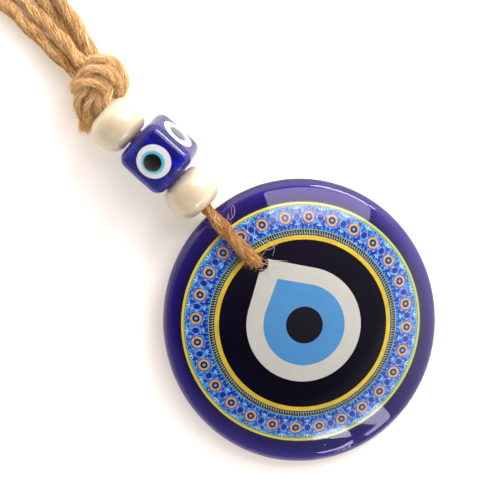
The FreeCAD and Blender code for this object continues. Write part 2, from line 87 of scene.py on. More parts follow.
# ---------------------------------------------------------------- meshes and materials
def srgb(red, green, blue):
    """A colour from its 0-255 screen values."""
    def linear(value):
        value /= 255
        return value / 12.92 if value <= 0.04045 else ((value + 0.055) / 1.055) ** 2.4
    return (linear(red), linear(green), linear(blue), 1.0)


def outward(points, faces):
    """The faces of a closed piece of quads, turned so that they all look outwards."""
    corners = np.asarray(points)[np.array([face[:3] for face in faces])]
    opposite = np.asarray(points)[np.array([(face[0], face[2], face[-1]) for face in faces])]
    volume = sum(np.einsum("ij,ij->i", part[:, 0], np.cross(part[:, 1], part[:, 2])).sum()
                 for part in (corners, opposite))
    return faces if volume > 0 else [tuple(reversed(face)) for face in faces]


def add_piece(name, points, faces, material):
    mesh = bpy.data.meshes.new(name)
    mesh.from_pydata([tuple(p) for p in points], [], [tuple(f) for f in faces])
    mesh.update()
    piece = bpy.data.objects.new(name, mesh)
    bpy.context.scene.collection.objects.link(piece)
    mesh.materials.append(material)
    mesh.polygons.foreach_set("use_smooth", np.full(len(mesh.polygons), True))
    return piece


def hand_over(piece, body, node=None):
    """Puts a piece on the body that it rides on and hides the node that it replaces."""
    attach(piece, body)
    if node:
        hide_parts(node)


def set_uv(mesh, name, places):
    """A UV map from one place for each point."""
    corners = np.zeros(len(mesh.loops), np.int32)
    mesh.loops.foreach_get("vertex_index", corners)
    mesh.uv_layers.new(name=name).data.foreach_set("uv", places[corners].astype(np.float32).ravel())


def full_turn(count):
    """Angles spread evenly round a circle."""
    return np.linspace(0, 2 * math.pi, count, endpoint=False)


def level_ring(radius, height, turn):
    return np.stack([radius * np.cos(turn), radius * np.sin(turn), np.full(len(turn), height)], axis=1)


def new_material(name, **inputs):
    """A Principled material with these sockets set, its node tree and its shader."""
    material = bpy.data.materials.new(name)
    material.use_nodes = True
    tree = material.node_tree
    shader = tree.nodes["Principled BSDF"]
    for socket, value in inputs.items():
        shader.inputs[socket.replace("_", " ")].default_value = value
    return material, tree, shader


def add_node(tree, kind, links=(), **settings):
    """A node with these settings and inputs: links are (socket, value or another node's output)."""
    node = tree.nodes.new("ShaderNode" + kind)
    for setting, value in settings.items():
        setattr(node, setting, value)
    for socket, value in links:
        if isinstance(value, bpy.types.NodeSocket):
            tree.links.new(value, node.inputs[socket])
        else:
            node.inputs[socket].default_value = value
    return node


def ramp(tree, factor, *stops):
    """A colour ramp on factor, from (place, colour) stops."""
    node = add_node(tree, "ValToRGB", [("Fac", factor)])
    elements = node.color_ramp.elements
    while len(elements) < len(stops):
        elements.new(0.5)
    for element, (place, colour) in zip(elements, stops):
        element.position = place
        element.color = colour
    return node.outputs["Color"]


def add_bump(tree, shader, height, strength, distance):
    bump = add_node(tree, "Bump", [("Height", height), ("Strength", strength), ("Distance", distance)])
    tree.links.new(bump.outputs["Normal"], shader.inputs["Normal"])


def object_place(tree):
    return add_node(tree, "TexCoord").outputs["Object"]


def object_noise(tree, scale, detail=3.0, roughness=0.5):
    return add_node(tree, "TexNoise", [("Vector", object_place(tree)), ("Scale", scale), ("Detail", detail),
                                       ("Roughness", roughness)]).outputs["Fac"]


def remap(tree, value, low, high, to_low=0.0, to_high=1.0, **settings):
    """A value carried from one range to another and held within it."""
    return add_node(tree, "MapRange", [("Value", value), ("From Min", low), ("From Max", high),
                                       ("To Min", to_low), ("To Max", to_high)], **settings).outputs["Result"]


def dot(tree, value, way):
    return add_node(tree, "VectorMath", [(0, value), (1, way)], operation="DOT_PRODUCT").outputs["Value"]


def scaled(tree, colour, share):
    return add_node(tree, "VectorMath", [(0, colour), ("Scale", share)], operation="SCALE").outputs["Vector"]


def jute_material(name, dark, middle, light):
    material, tree, shader = new_material(name, Roughness=0.82, Specular_IOR_Level=0.25, Sheen_Weight=0.35,
                                          Sheen_Roughness=0.5, Sheen_Tint=srgb(255, 226, 170))
    tone = add_node(tree, "Attribute", attribute_name="tone").outputs["Fac"]
    colour = ramp(tree, tone, (0.0, dark), (0.5, middle), (1.0, light))
    flecks = remap(tree, object_noise(tree, 1400.0, 4.0, 0.7), 0.3, 0.7, 0.72, 1.18)
    tree.links.new(scaled(tree, colour, flecks), shader.inputs["Base Color"])
    uv = add_node(tree, "UVMap", uv_map="fibre")
    stretched = add_node(tree, "Mapping", [("Vector", uv.outputs["UV"]), ("Scale", (9.0, 0.9, 1.0))])
    streaks = add_node(tree, "TexNoise", [("Vector", stretched.outputs["Vector"]), ("Scale", 1.0),
                                          ("Detail", 3.0)])
    add_bump(tree, shader, streaks.outputs["Fac"], 0.6, 0.08 * MM)
    return material


# ---------------------------------------------------------------- twine
PLIES = 2
PLY_PITCH = 17.6  # length of one turn of the plies
# How far a ply's middle is from the strand's, and how far out its bunches and its skin are from its
# own middle, as shares of the strand's radius.
TIGHT_PLY = (0.23, 0.64, 0.75)
LOOSE_PLY = (0.43, 0.48, 0.58)
BUNDLES = 18  # bunches of fibre round each ply
FIBRE_STEP = 0.55  # spacing of the rings that a bunch is made of
BUNDLE_SIDES = 5
BUNDLE_ACROSS, BUNDLE_THROUGH = 0.15, 0.10  # half a bunch's section, as shares of the strand's radius
TWINE_TONE, SKIN_TONE, FUZZ_TONE = 0.46, 0.62, 0.74
SKIN_PER_MM = 30  # short fibres on each millimetre of a strand
SKIN_STEPS, FUZZ_STEPS = 7, 7
FUZZ_REACH = 1.6  # a loose fibre turns back this far out from the strand
FUZZ_CLEAR = 0.12  # and stays this far above the surface


def read_line(points):
    """The smooth line of a route, as points along it."""
    curve = bpy.data.curves.new("route", "CURVE")
    curve.dimensions = "3D"
    curve.resolution_u = 24
    spline = curve.splines.new("NURBS")
    spline.points.add(len(points) - 1)
    for place, point in zip(spline.points, points):
        place.co = (*point, 1.0)
    spline.order_u = 3
    spline.use_endpoint_u = True
    holder = bpy.data.objects.new("route", curve)
    mesh = bpy.data.meshes.new_from_object(holder)
    line = np.array([vertex.co for vertex in mesh.vertices])
    bpy.data.objects.remove(holder)
    bpy.data.curves.remove(curve)
    bpy.data.meshes.remove(mesh)
    return line


def even_line(line, step):
    """The same line with points about a step apart, and how far along it each is."""
    along = np.concatenate([[0], np.cumsum(np.linalg.norm(np.diff(line, axis=0), axis=1))])
    count = max(4, int(round(along[-1] / step)) + 1)
    at = np.linspace(0, along[-1], count)
    return np.stack([np.interp(at, along, line[:, axis]) for axis in range(3)], axis=1), at


def unit(rows):
    return rows / np.maximum(np.linalg.norm(rows, axis=-1, keepdims=True), 1e-12)


def frames_along(line):
    """Two directions across the line at each point, turning with it as little as they can."""
    ahead = unit(np.gradient(line, axis=0))
    side = np.cross(ahead[0], (0.0, 0.0, 1.0))
    if np.linalg.norm(side) < 0.1:
        side = np.cross(ahead[0], (1.0, 0.0, 0.0))
    sides = [side / np.linalg.norm(side)]
    for way in ahead[1:]:
        side = sides[-1] - way * sides[-1].dot(way)
        sides.append(side / np.linalg.norm(side))
    sides = np.array(sides)
    return sides, np.cross(ahead, sides)


def wander(rng, at, spacing, size):
    """A smooth random number along a line: it changes over about the spacing given."""
    knots = max(4, int(at[-1] / spacing) + 3)
    values = rng.normal(0, size, knots)
    where = np.linspace(0, knots - 1, len(at))
    low = np.clip(where.astype(int), 0, knots - 2)
    share = where - low
    share = share * share * (3 - 2 * share)
    return values[low] * (1 - share) + values[low + 1] * share


class Pile:
    """Many closed tubes of fibre gathered into one piece, with a tone and a texture place at each point."""

    def __init__(self, seed):
        self.rng = np.random.default_rng(seed)
        self.points, self.faces, self.tones, self.places, self.count = [], [], [], [], 0

    def add(self, spines, across, away, width, thick, sides, tone, along):
        """Elliptical tubes along spines: arrays of lines by rows, with sizes and tones at each row."""
        lines, rows = spines.shape[:2]
        angle = full_turn(sides)
        rings = (spines[:, :, None] + across[:, :, None] * (width[..., None] * np.cos(angle))[..., None]
                 + away[:, :, None] * (thick[..., None] * np.sin(angle))[..., None])
        step = np.arange(sides)
        line_start = self.count + np.arange(lines)[:, None, None] * rows * sides
        low = line_start + np.arange(rows - 1)[None, :, None] * sides
        here, after = low + step, low + (step + 1) % sides
        self.faces += np.stack([here, after, after + sides, here + sides], axis=-1).reshape(-1, 4).tolist()
        first_ring = line_start[:, 0] + step
        self.faces += first_ring[:, ::-1].tolist() + (first_ring + (rows - 1) * sides).tolist()
        self.points.append(rings.reshape(-1, 3))
        self.tones.append(np.repeat(np.broadcast_to(tone, (lines, rows)).ravel(), sides))
        u = np.broadcast_to(step / sides, (lines, rows, sides)) + self.rng.uniform(0, 9, (lines, 1, 1))
        v = np.repeat(np.broadcast_to(along, (lines, rows))[..., None] / MM, sides, axis=2)
        self.places.append(np.stack([u, v + self.rng.uniform(0, 50, (lines, 1, 1))], axis=-1).reshape(-1, 2))
        self.count += lines * rows * sides

    def make(self, name, material):
        piece = add_piece(name, np.concatenate(self.points), self.faces, material)
        piece.data.attributes.new("tone", "FLOAT", "POINT").data.foreach_set(
            "value", np.clip(np.concatenate(self.tones), 0, 1).astype(np.float32))
        set_uv(piece.data, "fibre", np.concatenate(self.places))
        hand_over(piece, "cord_and_knot")
        return piece


class Strand:
    """A strand of twine on a line: its even points, the directions across it, its radius and its turn.
    The radius may be a list, spread evenly along the line. Loose plies stand further apart."""

    def __init__(self, line, radius, seed, start_turn=0.0, uneven=0.035, tone=0.0, loose=False):
        self.rng, self.tone = np.random.default_rng(seed), tone
        self.offset, self.reach, self.skin = LOOSE_PLY if loose else TIGHT_PLY
        self.line, self.at = even_line(line, FIBRE_STEP * MM)
        self.side, self.upward = frames_along(self.line)
        self.ahead = unit(np.gradient(self.line, axis=0))
        radius = np.atleast_1d(radius) * MM
        radius = np.interp(self.at / self.at[-1], np.linspace(0, 1, len(radius)), radius)
        self.radius = radius * (1 + wander(self.rng, self.at, 5 * MM, uneven))
        self.turn = (start_turn + self.at / (PLY_PITCH * MM) * 2 * math.pi
                     + wander(self.rng, self.at, 12 * MM, 0.3))

    def off(self, angle, rows=slice(None)):
        return self.side[rows] * np.cos(angle)[..., None] + self.upward[rows] * np.sin(angle)[..., None]

    def add_plies(self, pile, bundles=BUNDLES):
        """Two plies wound together, each a heart with bunches of fibre that wind round it."""
        rng, at, radius = self.rng, self.at, self.radius
        for ply in range(PLIES):
            angle = self.turn + ply * 2 * math.pi / PLIES
            out = self.off(angle)
            centre = self.line + out * (radius * self.offset)[:, None]
            spines, across, away, width, thick, tones = [], [], [], [], [], []
            for bundle in range(bundles):
                swing = angle * 0.35 + 2 * math.pi * bundle / bundles + wander(rng, at, 5 * MM, 0.3)
                off = self.off(swing)
                reach = radius * (self.reach + 0.03 * rng.normal()) * (1 + wander(rng, at, 3 * MM, 0.06))
                spine = centre + off * reach[:, None]
                size = rng.uniform(0.8, 1.25) * (1 + wander(rng, at, 4 * MM, 0.18))
                spines.append(spine)
                across.append(unit(np.cross(off, unit(np.gradient(spine, axis=0)))))
                away.append(off)
                width.append(radius * BUNDLE_ACROSS * size)
                thick.append(radius * BUNDLE_THROUGH * size)
                tones.append(TWINE_TONE + self.tone + 0.15 * rng.normal() + wander(rng, at, 4 * MM, 0.15))
            pile.add(*(np.array(rows) for rows in (spines, across, away, width, thick)), BUNDLE_SIDES,
                     np.array(tones), at)
            beside = unit(np.cross(out, unit(np.gradient(centre, axis=0))))
            heart = (radius * (self.reach - 0.02))[None]
            pile.add(centre[None], beside[None], out[None], heart, heart, sides=12, tone=0.1, along=at)

    def surface(self, place, angle):
        """How far out the two plies reach at places along the strand, towards angles round it."""
        turn = np.interp(place, self.at, self.turn)
        reaches = []
        for ply in range(PLIES):
            gap = angle - turn - ply * 2 * math.pi / PLIES
            reaches.append(self.offset * np.cos(gap)
                           + np.sqrt(self.skin ** 2 - (self.offset * np.sin(gap)) ** 2))
        return np.maximum(*reaches) * np.interp(place, self.at, self.radius)

    def at_place(self, place):
        return [np.stack([np.interp(place, self.at, rows[:, axis]) for axis in range(3)], axis=-1)
                for rows in (self.line, self.side, self.upward)]

    def add_skin(self, pile, span=(0.0, 1.0)):
        """Short fibres that lie on the strand at a slant and break up its bunches."""
        rng = self.rng
        count = int(self.at[-1] / MM * SKIN_PER_MM * (span[1] - span[0]))
        share = np.linspace(0, 1, SKIN_STEPS)
        length = rng.uniform(1.6, 4.6, count) * MM
        start = rng.uniform(span[0] * self.at[-1], span[1] * self.at[-1], count)
        place = np.clip(start[:, None] + length[:, None] * share, 0, self.at[-1])
        slope = rng.normal(0.21, 0.13, count) / MM
        angle = rng.uniform(0, 2 * math.pi, count)[:, None] + slope[:, None] * (place - start[:, None])
        angle += rng.normal(0, 0.25, count)[:, None] * np.sin(share * math.pi)
        line, side, upward = self.at_place(place)
        away = side * np.cos(angle)[..., None] + upward * np.sin(angle)[..., None]
        lift = 1 + rng.uniform(-0.03, 0.05, count)[:, None]
        lift = lift + rng.uniform(0, 0.06, count)[:, None] * share ** 2
        spines = line + away * (self.surface(place, angle) * lift)[..., None]
        ahead = unit(np.gradient(spines, axis=1) + 1e-9)
        across = unit(np.cross(away, ahead))
        taper = np.sin(np.clip(share, 0.08, 0.92) * math.pi) ** 0.4
        width = rng.uniform(0.05, 0.13, count)[:, None] * taper * MM
        tone = np.clip(rng.normal(SKIN_TONE + self.tone, 0.24, count), 0.05, 1)[:, None]
        pile.add(spines, across, away, width, width * 0.6, sides=4, tone=tone, along=place)

    def add_fuzz(self, pile, per_mm, length=(1.2, 3.6), lift=1.0, thickness=0.035, span=(0.0, 1.0)):
        """Loose fibres that leave the strand's surface and curl, above the floor."""
        rng = self.rng
        count = int(self.at[-1] / MM * per_mm * (span[1] - span[0]))
        rows = rng.integers(int(span[0] * len(self.line)), int(span[1] * len(self.line)), count)
        line, ahead, radius = self.line[rows], self.ahead[rows], self.radius[rows]
        angle = rng.uniform(0, 2 * math.pi, count)
        off = self.off(angle, rows)
        way = (ahead * rng.choice((-1, 1), count)[:, None]
               + np.cross(ahead, off) * rng.normal(0, 0.45, (count, 1))
               + off * rng.uniform(0.05, 0.5, (count, 1)) * lift)
        place = line + off * (radius * 0.92)[:, None]
        step = rng.uniform(*length, (count, 1)) * MM / FUZZ_STEPS
        bend = rng.normal(0, 0.5, (count, 3))
        spine = [place]
        for _ in range(FUZZ_STEPS):
            bend = bend * 0.8 + rng.normal(0, 0.22, (count, 3))
            way = unit(unit(way) + bend * 0.45)
            place = place + way * step
            reach = place - line
            reach = reach - ahead * np.einsum("ij,ij->i", reach, ahead)[:, None]
            far = np.linalg.norm(reach, axis=1) > radius + FUZZ_REACH * MM
            way = np.where(far[:, None], way - unit(reach) * 0.8, way)
            low = place[:, 2] < GROUND + FUZZ_CLEAR * MM
            place[low, 2] = GROUND + FUZZ_CLEAR * MM
            way[low, 2] = np.abs(way[low, 2]) * 0.3
            spine.append(place)
        spines = np.stack(spine, axis=1)
        add_hairs(pile, spines, thickness * rng.uniform(0.7, 1.3, (count, 1)),
                  np.clip(rng.normal(FUZZ_TONE + self.tone, 0.16, count), 0, 1)[:, None])


def add_hairs(pile, spines, thickness, tone):
    """Thin fibres along spines, tapering to their ends."""
    ahead = unit(np.gradient(spines, axis=1))
    across = unit(np.cross(ahead, spines[:, :1] * 0 + (0.31, 0.22, 0.92)))
    away = np.cross(ahead, across)
    taper = np.linspace(1.0, 0.45, spines.shape[1]) * thickness * MM
    along = np.linspace(0, 3 * MM, spines.shape[1])
    pile.add(spines, across, away, taper, taper, sides=3, tone=tone, along=along)


# Routes of the cords: x, y and height above the surface, in millimetres.
OUTER_LOOP = [(-11.4, 87.4, 4.6), (-13.3, 96.6, 2.8), (-15.1, 105.4, 2.15), (-17.3, 116.0, 2.12),
              (-21.0, 127.5, 2.12), (-23.9, 139.0, 2.12), (-24.0, 150.4, 2.12), (-18.3, 158.9, 2.12),
              (-8.8, 162.1, 2.12), (0.9, 159.3, 2.12), (6.8, 151.2, 2.12), (7.0, 141.0, 2.12),
              (3.8, 129.6, 2.12), (-1.2, 118.0, 2.2), (-4.6, 107.4, 3.6), (-4.1, 99.5, 4.9),
              (-5.7, 88.2, 6.3)]
INNER_LOOP = [(-8.9, 88.2, 7.4), (-9.6, 96.9, 4.7), (-11.0, 105.0, 2.4), (-13.2, 115.4, 2.12),
              (-17.0, 127.0, 2.12), (-19.8, 139.6, 2.12), (-19.4, 149.4, 2.12), (-15.4, 155.2, 2.12),
              (-8.7, 157.7, 2.12), (-1.9, 155.4, 2.12), (2.4, 149.4, 2.12), (2.5, 139.8, 2.12),
              (-2.2, 128.5, 2.12), (-6.6, 118.4, 2.12), (-8.1, 108.8, 2.12), (-7.0, 98.4, 2.2),
              (-8.0, 88.2, 3.8)]
LOOP_RADIUS = (1.9,)
# The strand through the disc: distance from the hole, height, and how far aside it lies.
STRAND_HEADING = math.radians(-9.4)
STRAND_START = (-0.5, 19.9)
DISC_STRAND = [(22.0, 8.8, 0.0), (18.9, 9.1, -0.1), (14.8, 11.35, -0.35), (7.5, 13.0, -0.6),
               (3.7, 13.7, -0.8), (0.85, 14.3, -0.6), (0.2, 9.6, -0.1), (0.1, 5.0, 0.0), (0.35, 1.46, 0.0),
               (1.8, 1.46, 0.0), (8.2, 1.46, 0.0), (16.5, 1.46, 0.0), (20.3, 6.05, 0.0), (22.0, 6.1, 0.0)]
DISC_STRAND_RADIUS = (1.62, 1.75, 1.86, 1.88, 1.86, 1.84, 1.86, 1.75, 1.42, 1.40, 1.34, 1.30, 1.30, 1.30,
                      1.30, 1.30, 1.32, 1.36, 1.40)
FRONT_SHARE = 0.46  # of that strand's length is over the glass
BEAD_CORE = [(-3.95, 40.6, 7.45), (-4.4, 45.0, 7.4), (-4.7, 50.9, 7.55), (-8.1, 65.2, 7.55),
             (-10.45, 71.0, 7.4), (-11.5, 75.7, 7.4), (-9.8, 81.0, 7.0)]
CORE_RADIUS = 2.1
KNOT_STRANDS = {
    "outer_wrap": [(-13.8, 84.5, 4.5), (-11.7, 86.2, 6.5), (-8.8, 87.5, 7.5), (-6.0, 87.6, 7.5),
                   (-3.5, 86.6, 7.0), (-2.0, 84.5, 6.5), (-2.0, 81.9, 6.5), (-2.4, 79.4, 6.0),
                   (-3.5, 77.5, 5.0), (-5.0, 76.8, 3.5)],
    "inner_wrap": [(-13.2, 84.5, 6.5), (-10.6, 85.8, 8.5), (-7.9, 85.9, 9.3), (-5.5, 84.7, 9.5),
                   (-4.3, 82.6, 9.3), (-4.3, 80.3, 8.5), (-4.8, 78.5, 7.0), (-6.0, 77.4, 5.0)],
    "crossing": [(-14.6, 84.1, 6.0), (-12.0, 84.5, 8.3), (-9.7, 84.0, 9.3), (-8.0, 82.4, 9.6),
                 (-7.5, 80.5, 9.2), (-8.0, 79.1, 8.0), (-9.5, 78.3, 6.0), (-11.0, 78.1, 5.0)],
    "low_wrap": [(-14.3, 83.4, 4.4), (-12.8, 86.0, 3.4), (-9.6, 87.6, 3.0), (-6.0, 87.4, 3.2),
                 (-3.2, 85.6, 3.4), (-2.0, 82.8, 3.4), (-2.6, 79.8, 3.2), (-4.8, 77.9, 2.9)],
    "throat": [(-6.8, 81.8, 8.2), (-8.0, 79.6, 8.9), (-9.2, 77.6, 8.7), (-10.4, 75.4, 8.3)],
    "throat_twin": [(-9.6, 82.2, 6.2), (-10.3, 79.6, 7.3), (-11.3, 77.6, 7.3), (-11.8, 75.4, 7.0)],
    "throat_side": [(-10.4, 82.0, 4.6), (-11.6, 79.8, 5.6), (-12.9, 77.7, 6.0), (-13.0, 75.4, 6.2)],
}
LONG_TAIL = [(-11.0, 83.4, 8.0), (-13.9, 82.7, 7.3), (-15.5, 81.1, 6.3), (-16.0, 78.8, 4.9),
             (-16.5, 76.7, 3.7), (-17.0, 75.7, 3.2)]
SHORT_TAIL = [(-10.0, 82.0, 8.5), (-12.6, 80.4, 7.8), (-13.9, 79.1, 7.0), (-14.9, 77.5, 6.0),
              (-15.2, 76.2, 5.2)]
KNOT_RADIUS, TAIL_RADIUS = 1.72, 1.62
KNOT_MIDDLE, KNOT_REACH = (-7.9, 82.2, 5.4), (4.6, 4.9, 3.9)
HEART_ROWS = 26
FRAYED_FIBRES = 420
FRAY_START = 0.8  # they leave the strand this far before its end
FRAY_CLEAR = 0.15  # and stay this far above the surface


def strand_point(distance, height, aside):
    sin, cos = math.sin(STRAND_HEADING), math.cos(STRAND_HEADING)
    return on_ground(STRAND_START[0] + distance * sin + aside * cos,
                     STRAND_START[1] + distance * cos - aside * sin, height)


def ground_route(route):
    return [on_ground(*spot) for spot in route]


def make_strand(name, line, radius, seed, jute, fuzz_per_mm, span=(0.0, 1.0), **look):
    """A strand, its twine as a piece, and its fuzz as a pile that more fibres may join."""
    strand = Strand(line, radius, seed, **look)
    twine, fuzz = Pile(seed + 50), Pile(seed + 70)
    strand.add_plies(twine)
    strand.add_skin(twine, span=span)
    strand.add_fuzz(fuzz, fuzz_per_mm, span=span)
    return strand, twine.make(name + "_twine", jute), fuzz


def make_cords():
    """The loops, the strand through the disc and the core in the beads, built as twine and fuzz."""
    jute = jute_material("jute", srgb(160, 104, 54), srgb(240, 190, 126), srgb(255, 234, 188))
    # Each cord: its node, route and radius, the part that shows, its lay, its unevenness and its tone.
    cords = (("outer_loop_cord", ground_route(OUTER_LOOP), LOOP_RADIUS, (0.0, 1.0), "loose", 0.04, -0.15),
             ("inner_loop_cord", ground_route(INNER_LOOP), LOOP_RADIUS, (0.0, 1.0), "loose", 0.04, -0.08),
             ("disc_strand", [strand_point(*spot) for spot in DISC_STRAND], DISC_STRAND_RADIUS,
              (0.0, FRONT_SHARE), "taut", 0.015, -0.5))
    for seed, (node, route, radius, span, lay, uneven, tone) in enumerate(cords):
        line = read_line(route)
        strand, piece, fuzz = make_strand(node, line, radius, 11 + seed, jute, fuzz_per_mm=10, span=span,
                                          uneven=uneven, tone=tone)
        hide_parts(node)
        with_pieces = []
        if node == "disc_strand":
            strand.add_fuzz(fuzz, per_mm=22, length=(1.0, 2.4), lift=1.7, thickness=0.045,
                            span=(0.36, FRONT_SHARE - 0.02))
            with_pieces = [make_stray_fibres()]
        if node == "outer_loop_cord":
            with_pieces = make_knot(jute)
        fuzz = fuzz.make(node + "_fuzz", jute)
    line = read_line(ground_route(BEAD_CORE))
    _, core, fuzz = make_strand("bead_core_cord", line, CORE_RADIUS, 17, jute, fuzz_per_mm=4)
    fuzz = fuzz.make("bead_core_cord_fuzz", jute)
    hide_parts("bead_core_cord")


def make_knot(jute):
    """The knot's wraps over an oval heart of fibre, and the two cut tails with their frayed ends."""
    twine, fuzz = Pile(91), Pile(92)
    for seed, route in enumerate(KNOT_STRANDS.values()):
        strand = Strand(read_line(ground_route(route)), KNOT_RADIUS, 100 + seed, start_turn=seed * 1.3,
                        uneven=0.06, tone=0.04, loose=True)
        strand.add_plies(twine, bundles=16)
        strand.add_skin(twine)
        strand.add_fuzz(fuzz, per_mm=34, length=(0.8, 2.8), lift=1.2)
    rng = np.random.default_rng(7)
    rise = np.linspace(-0.98, 0.98, HEART_ROWS)
    spine = np.array(on_ground(*KNOT_MIDDLE)) + rise[:, None] * (0.0, 0.0, KNOT_REACH[2] * MM)
    ring = np.sqrt(1 - rise ** 2) * (1 + rng.normal(0, 0.03, HEART_ROWS)) * MM
    twine.add(spine[None], np.tile((1.0, 0.0, 0.0), (1, HEART_ROWS, 1)),
              np.tile((0.0, 1.0, 0.0), (1, HEART_ROWS, 1)), (ring * KNOT_REACH[0])[None],
              (ring * KNOT_REACH[1])[None], sides=32, tone=0.15, along=rise * MM)
    knot, knot_fuzz = twine.make("knot_twine", jute), fuzz.make("knot_fuzz", jute)
    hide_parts("knot")
    frayed = jute_material("cut_jute", srgb(255, 150, 62), srgb(255, 190, 98), srgb(255, 226, 156))
    pieces = [knot, knot_fuzz]
    for seed, (node, route) in enumerate((("long_tail", LONG_TAIL), ("short_tail", SHORT_TAIL))):
        radius = (KNOT_RADIUS, TAIL_RADIUS, TAIL_RADIUS, TAIL_RADIUS, TAIL_RADIUS * 1.05)
        line = read_line(ground_route(route))
        strand, tail, tail_fuzz = make_strand(node, line, radius, 61 + seed, jute, fuzz_per_mm=18,
                                              loose=True)
        strand.add_fuzz(tail_fuzz, per_mm=40, length=(0.8, 1.9), lift=1.2, thickness=0.04, span=(0.85, 1.0))
        tail_fuzz = tail_fuzz.make(node + "_fuzz", jute)
        end = make_frayed_end(strand, node + "_frayed_end", frayed, 71 + seed)
        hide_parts(node)
        pieces += [tail, tail_fuzz, end]
    return pieces


# Long fibres that have come loose over the disc: x, y and height above the surface, in millimetres.
STRAY_FIBRES = (
    [(-0.6, 33.2, 11.0), (0.9, 33.5, 11.6), (2.0, 34.6, 11.8), (2.6, 36.0, 11.6), (2.0, 36.1, 11.4),
     (1.1, 34.9, 11.2), (0.5, 33.3, 11.0), (-0.4, 33.2, 10.9), (-0.2, 34.6, 11.1), (0.5, 35.2, 11.2)],
    [(-5.2, 38.2, 10.4), (-6.0, 37.2, 10.2), (-6.1, 36.2, 10.0), (-4.9, 35.7, 10.3)],
    [(-3.6, 30.9, 11.9), (-4.3, 29.6, 11.4), (-3.9, 28.3, 11.6), (-3.2, 27.2, 12.2)],
    [(1.2, 29.9, 12.4), (1.7, 27.9, 12.3), (2.3, 25.8, 12.4), (3.1, 24.0, 12.5), (3.5, 22.7, 12.6),
     (2.9, 21.5, 12.7), (1.6, 21.0, 13.0), (0.6, 21.1, 13.2)],
    [(3.9, 23.9, 12.6), (4.9, 22.8, 12.5), (5.3, 21.4, 12.6), (4.6, 20.0, 12.8), (3.3, 19.3, 12.9)],
    [(0.2, 21.4, 13.3), (0.2, 20.0, 13.5), (-0.3, 18.6, 13.3), (-1.3, 17.5, 13.0)],
    [(-0.5, 18.6, 13.0), (0.6, 18.9, 13.3), (1.7, 18.5, 13.2), (1.7, 17.8, 12.9)],
    [(-1.0, 20.6, 13.3), (-2.1, 20.1, 13.1), (-3.0, 19.4, 12.9)],
    [(1.5, 19.4, 13.1), (3.2, 17.9, 12.9), (4.8, 16.8, 12.9), (6.0, 15.8, 12.9)],
    [(-1.8, 18.4, 12.9), (-0.6, 17.7, 13.0), (0.3, 16.9, 12.9), (1.3, 16.7, 12.9)],
    [(3.0, 21.4, 12.7), (4.2, 20.9, 12.8), (5.3, 21.2, 12.7), (6.2, 21.0, 12.6)],
    [(0.9, 20.0, 13.1), (1.6, 18.7, 13.2), (1.2, 17.6, 13.0), (0.2, 16.7, 12.9), (-0.4, 15.5, 13.0)],
    [(-0.2, 19.8, 13.3), (0.6, 18.2, 13.5), (2.4, 17.3, 13.3), (3.3, 16.0, 13.0)],
)


def make_stray_fibres():
    pile = Pile(44)
    for route in STRAY_FIBRES:
        spine = even_line(read_line(ground_route(route)), 0.25 * MM)[0]
        add_hairs(pile, spine[None], 0.07, np.array([[0.6]]))
    pale = jute_material("pale_fibre", srgb(176, 158, 140), srgb(226, 212, 198), srgb(250, 242, 232))
    return pile.make("stray_fibres", pale)


def make_frayed_end(strand, name, material, seed):
    """The tuft of cut fibres at the end of a tail: they leave its last ring and spread a little."""
    rng, pile, count = np.random.default_rng(seed), Pile(seed), FRAYED_FIBRES
    share = np.linspace(0, 1, 5)[None, :, None]
    spot = np.sqrt(rng.uniform(0, 1, count))[:, None] * 0.92
    angle = rng.uniform(0, 2 * math.pi, count)
    aside = strand.off(angle, np.full(count, -1)) * spot
    length = rng.uniform(0.9, 2.5, (count, 1)) * (1.1 - 0.4 * spot)
    start = strand.line[-1] - strand.ahead[-1] * FRAY_START * MM + aside * strand.radius[-1]
    way = strand.ahead[-1] + aside * 0.3 + rng.normal(0, 0.2, (count, 3))
    spines = start[:, None] + way[:, None] * share * ((length + FRAY_START) * MM)[..., None]
    spines = spines + rng.normal(0, 0.10 * MM, (count, 1, 3)) * share ** 2
    spines[..., 2] = np.maximum(spines[..., 2], GROUND + FRAY_CLEAR * MM)
    add_hairs(pile, spines, rng.uniform(0.07, 0.15, (count, 1)), rng.uniform(0.6, 1.0, (count, 1)))
    return pile.make(name, material)


# ---------------------------------------------------------------- the disc's shape
DISC_RADIUS = 37.5
DISC_THICK = 11.4
DOME_RADIUS = 101.5
RIM_ROUND = 3.0
HOLE = (-0.5, 20.4)
HOLE_RADIUS = 1.65
HOLE_LIP = 0.8
LIP_TURN = np.linspace(0, math.pi / 2, 7)  # the rings round any rounded mouth, by their angle
RIM_HEIGHT = (math.sqrt((DOME_RADIUS - RIM_ROUND) ** 2 - (DISC_RADIUS - RIM_ROUND) ** 2)
              + DISC_THICK - DOME_RADIUS)
DOME_EDGE = (DISC_RADIUS - RIM_ROUND) * DOME_RADIUS / (DOME_RADIUS - RIM_ROUND)
RIPPLE = 0.014  # the poured glass isn't perfectly even
# Nor is its outline quite round: it is wider along one diameter and a little off the print's middle.
WIDER_BY, WIDER_WAY = 0.76, math.radians(22.5)
SHIFTED_BY, SHIFTED_WAY = 0.38, math.radians(169)
OUTLINE_FROM = 31.5


def ripple(x, y):
    return RIPPLE * (np.sin(0.31 * x + 0.17 * y + 0.7) + np.sin(0.13 * x - 0.36 * y + 2.1)
                     + 0.6 * np.sin(0.52 * x + 0.44 * y))


def dome_height(x, y):
    """The front of the glass above its flat back, with the rounded mouth of the hole."""
    z = DISC_THICK - DOME_RADIUS + np.sqrt(DOME_RADIUS ** 2 - x ** 2 - y ** 2) + ripple(x, y)
    away = np.hypot(x - HOLE[0], y - HOLE[1])
    near = np.clip((HOLE_RADIUS + HOLE_LIP - away) / HOLE_LIP, 0, 1)
    return z - HOLE_LIP * (1 - np.sqrt(1 - near ** 2))


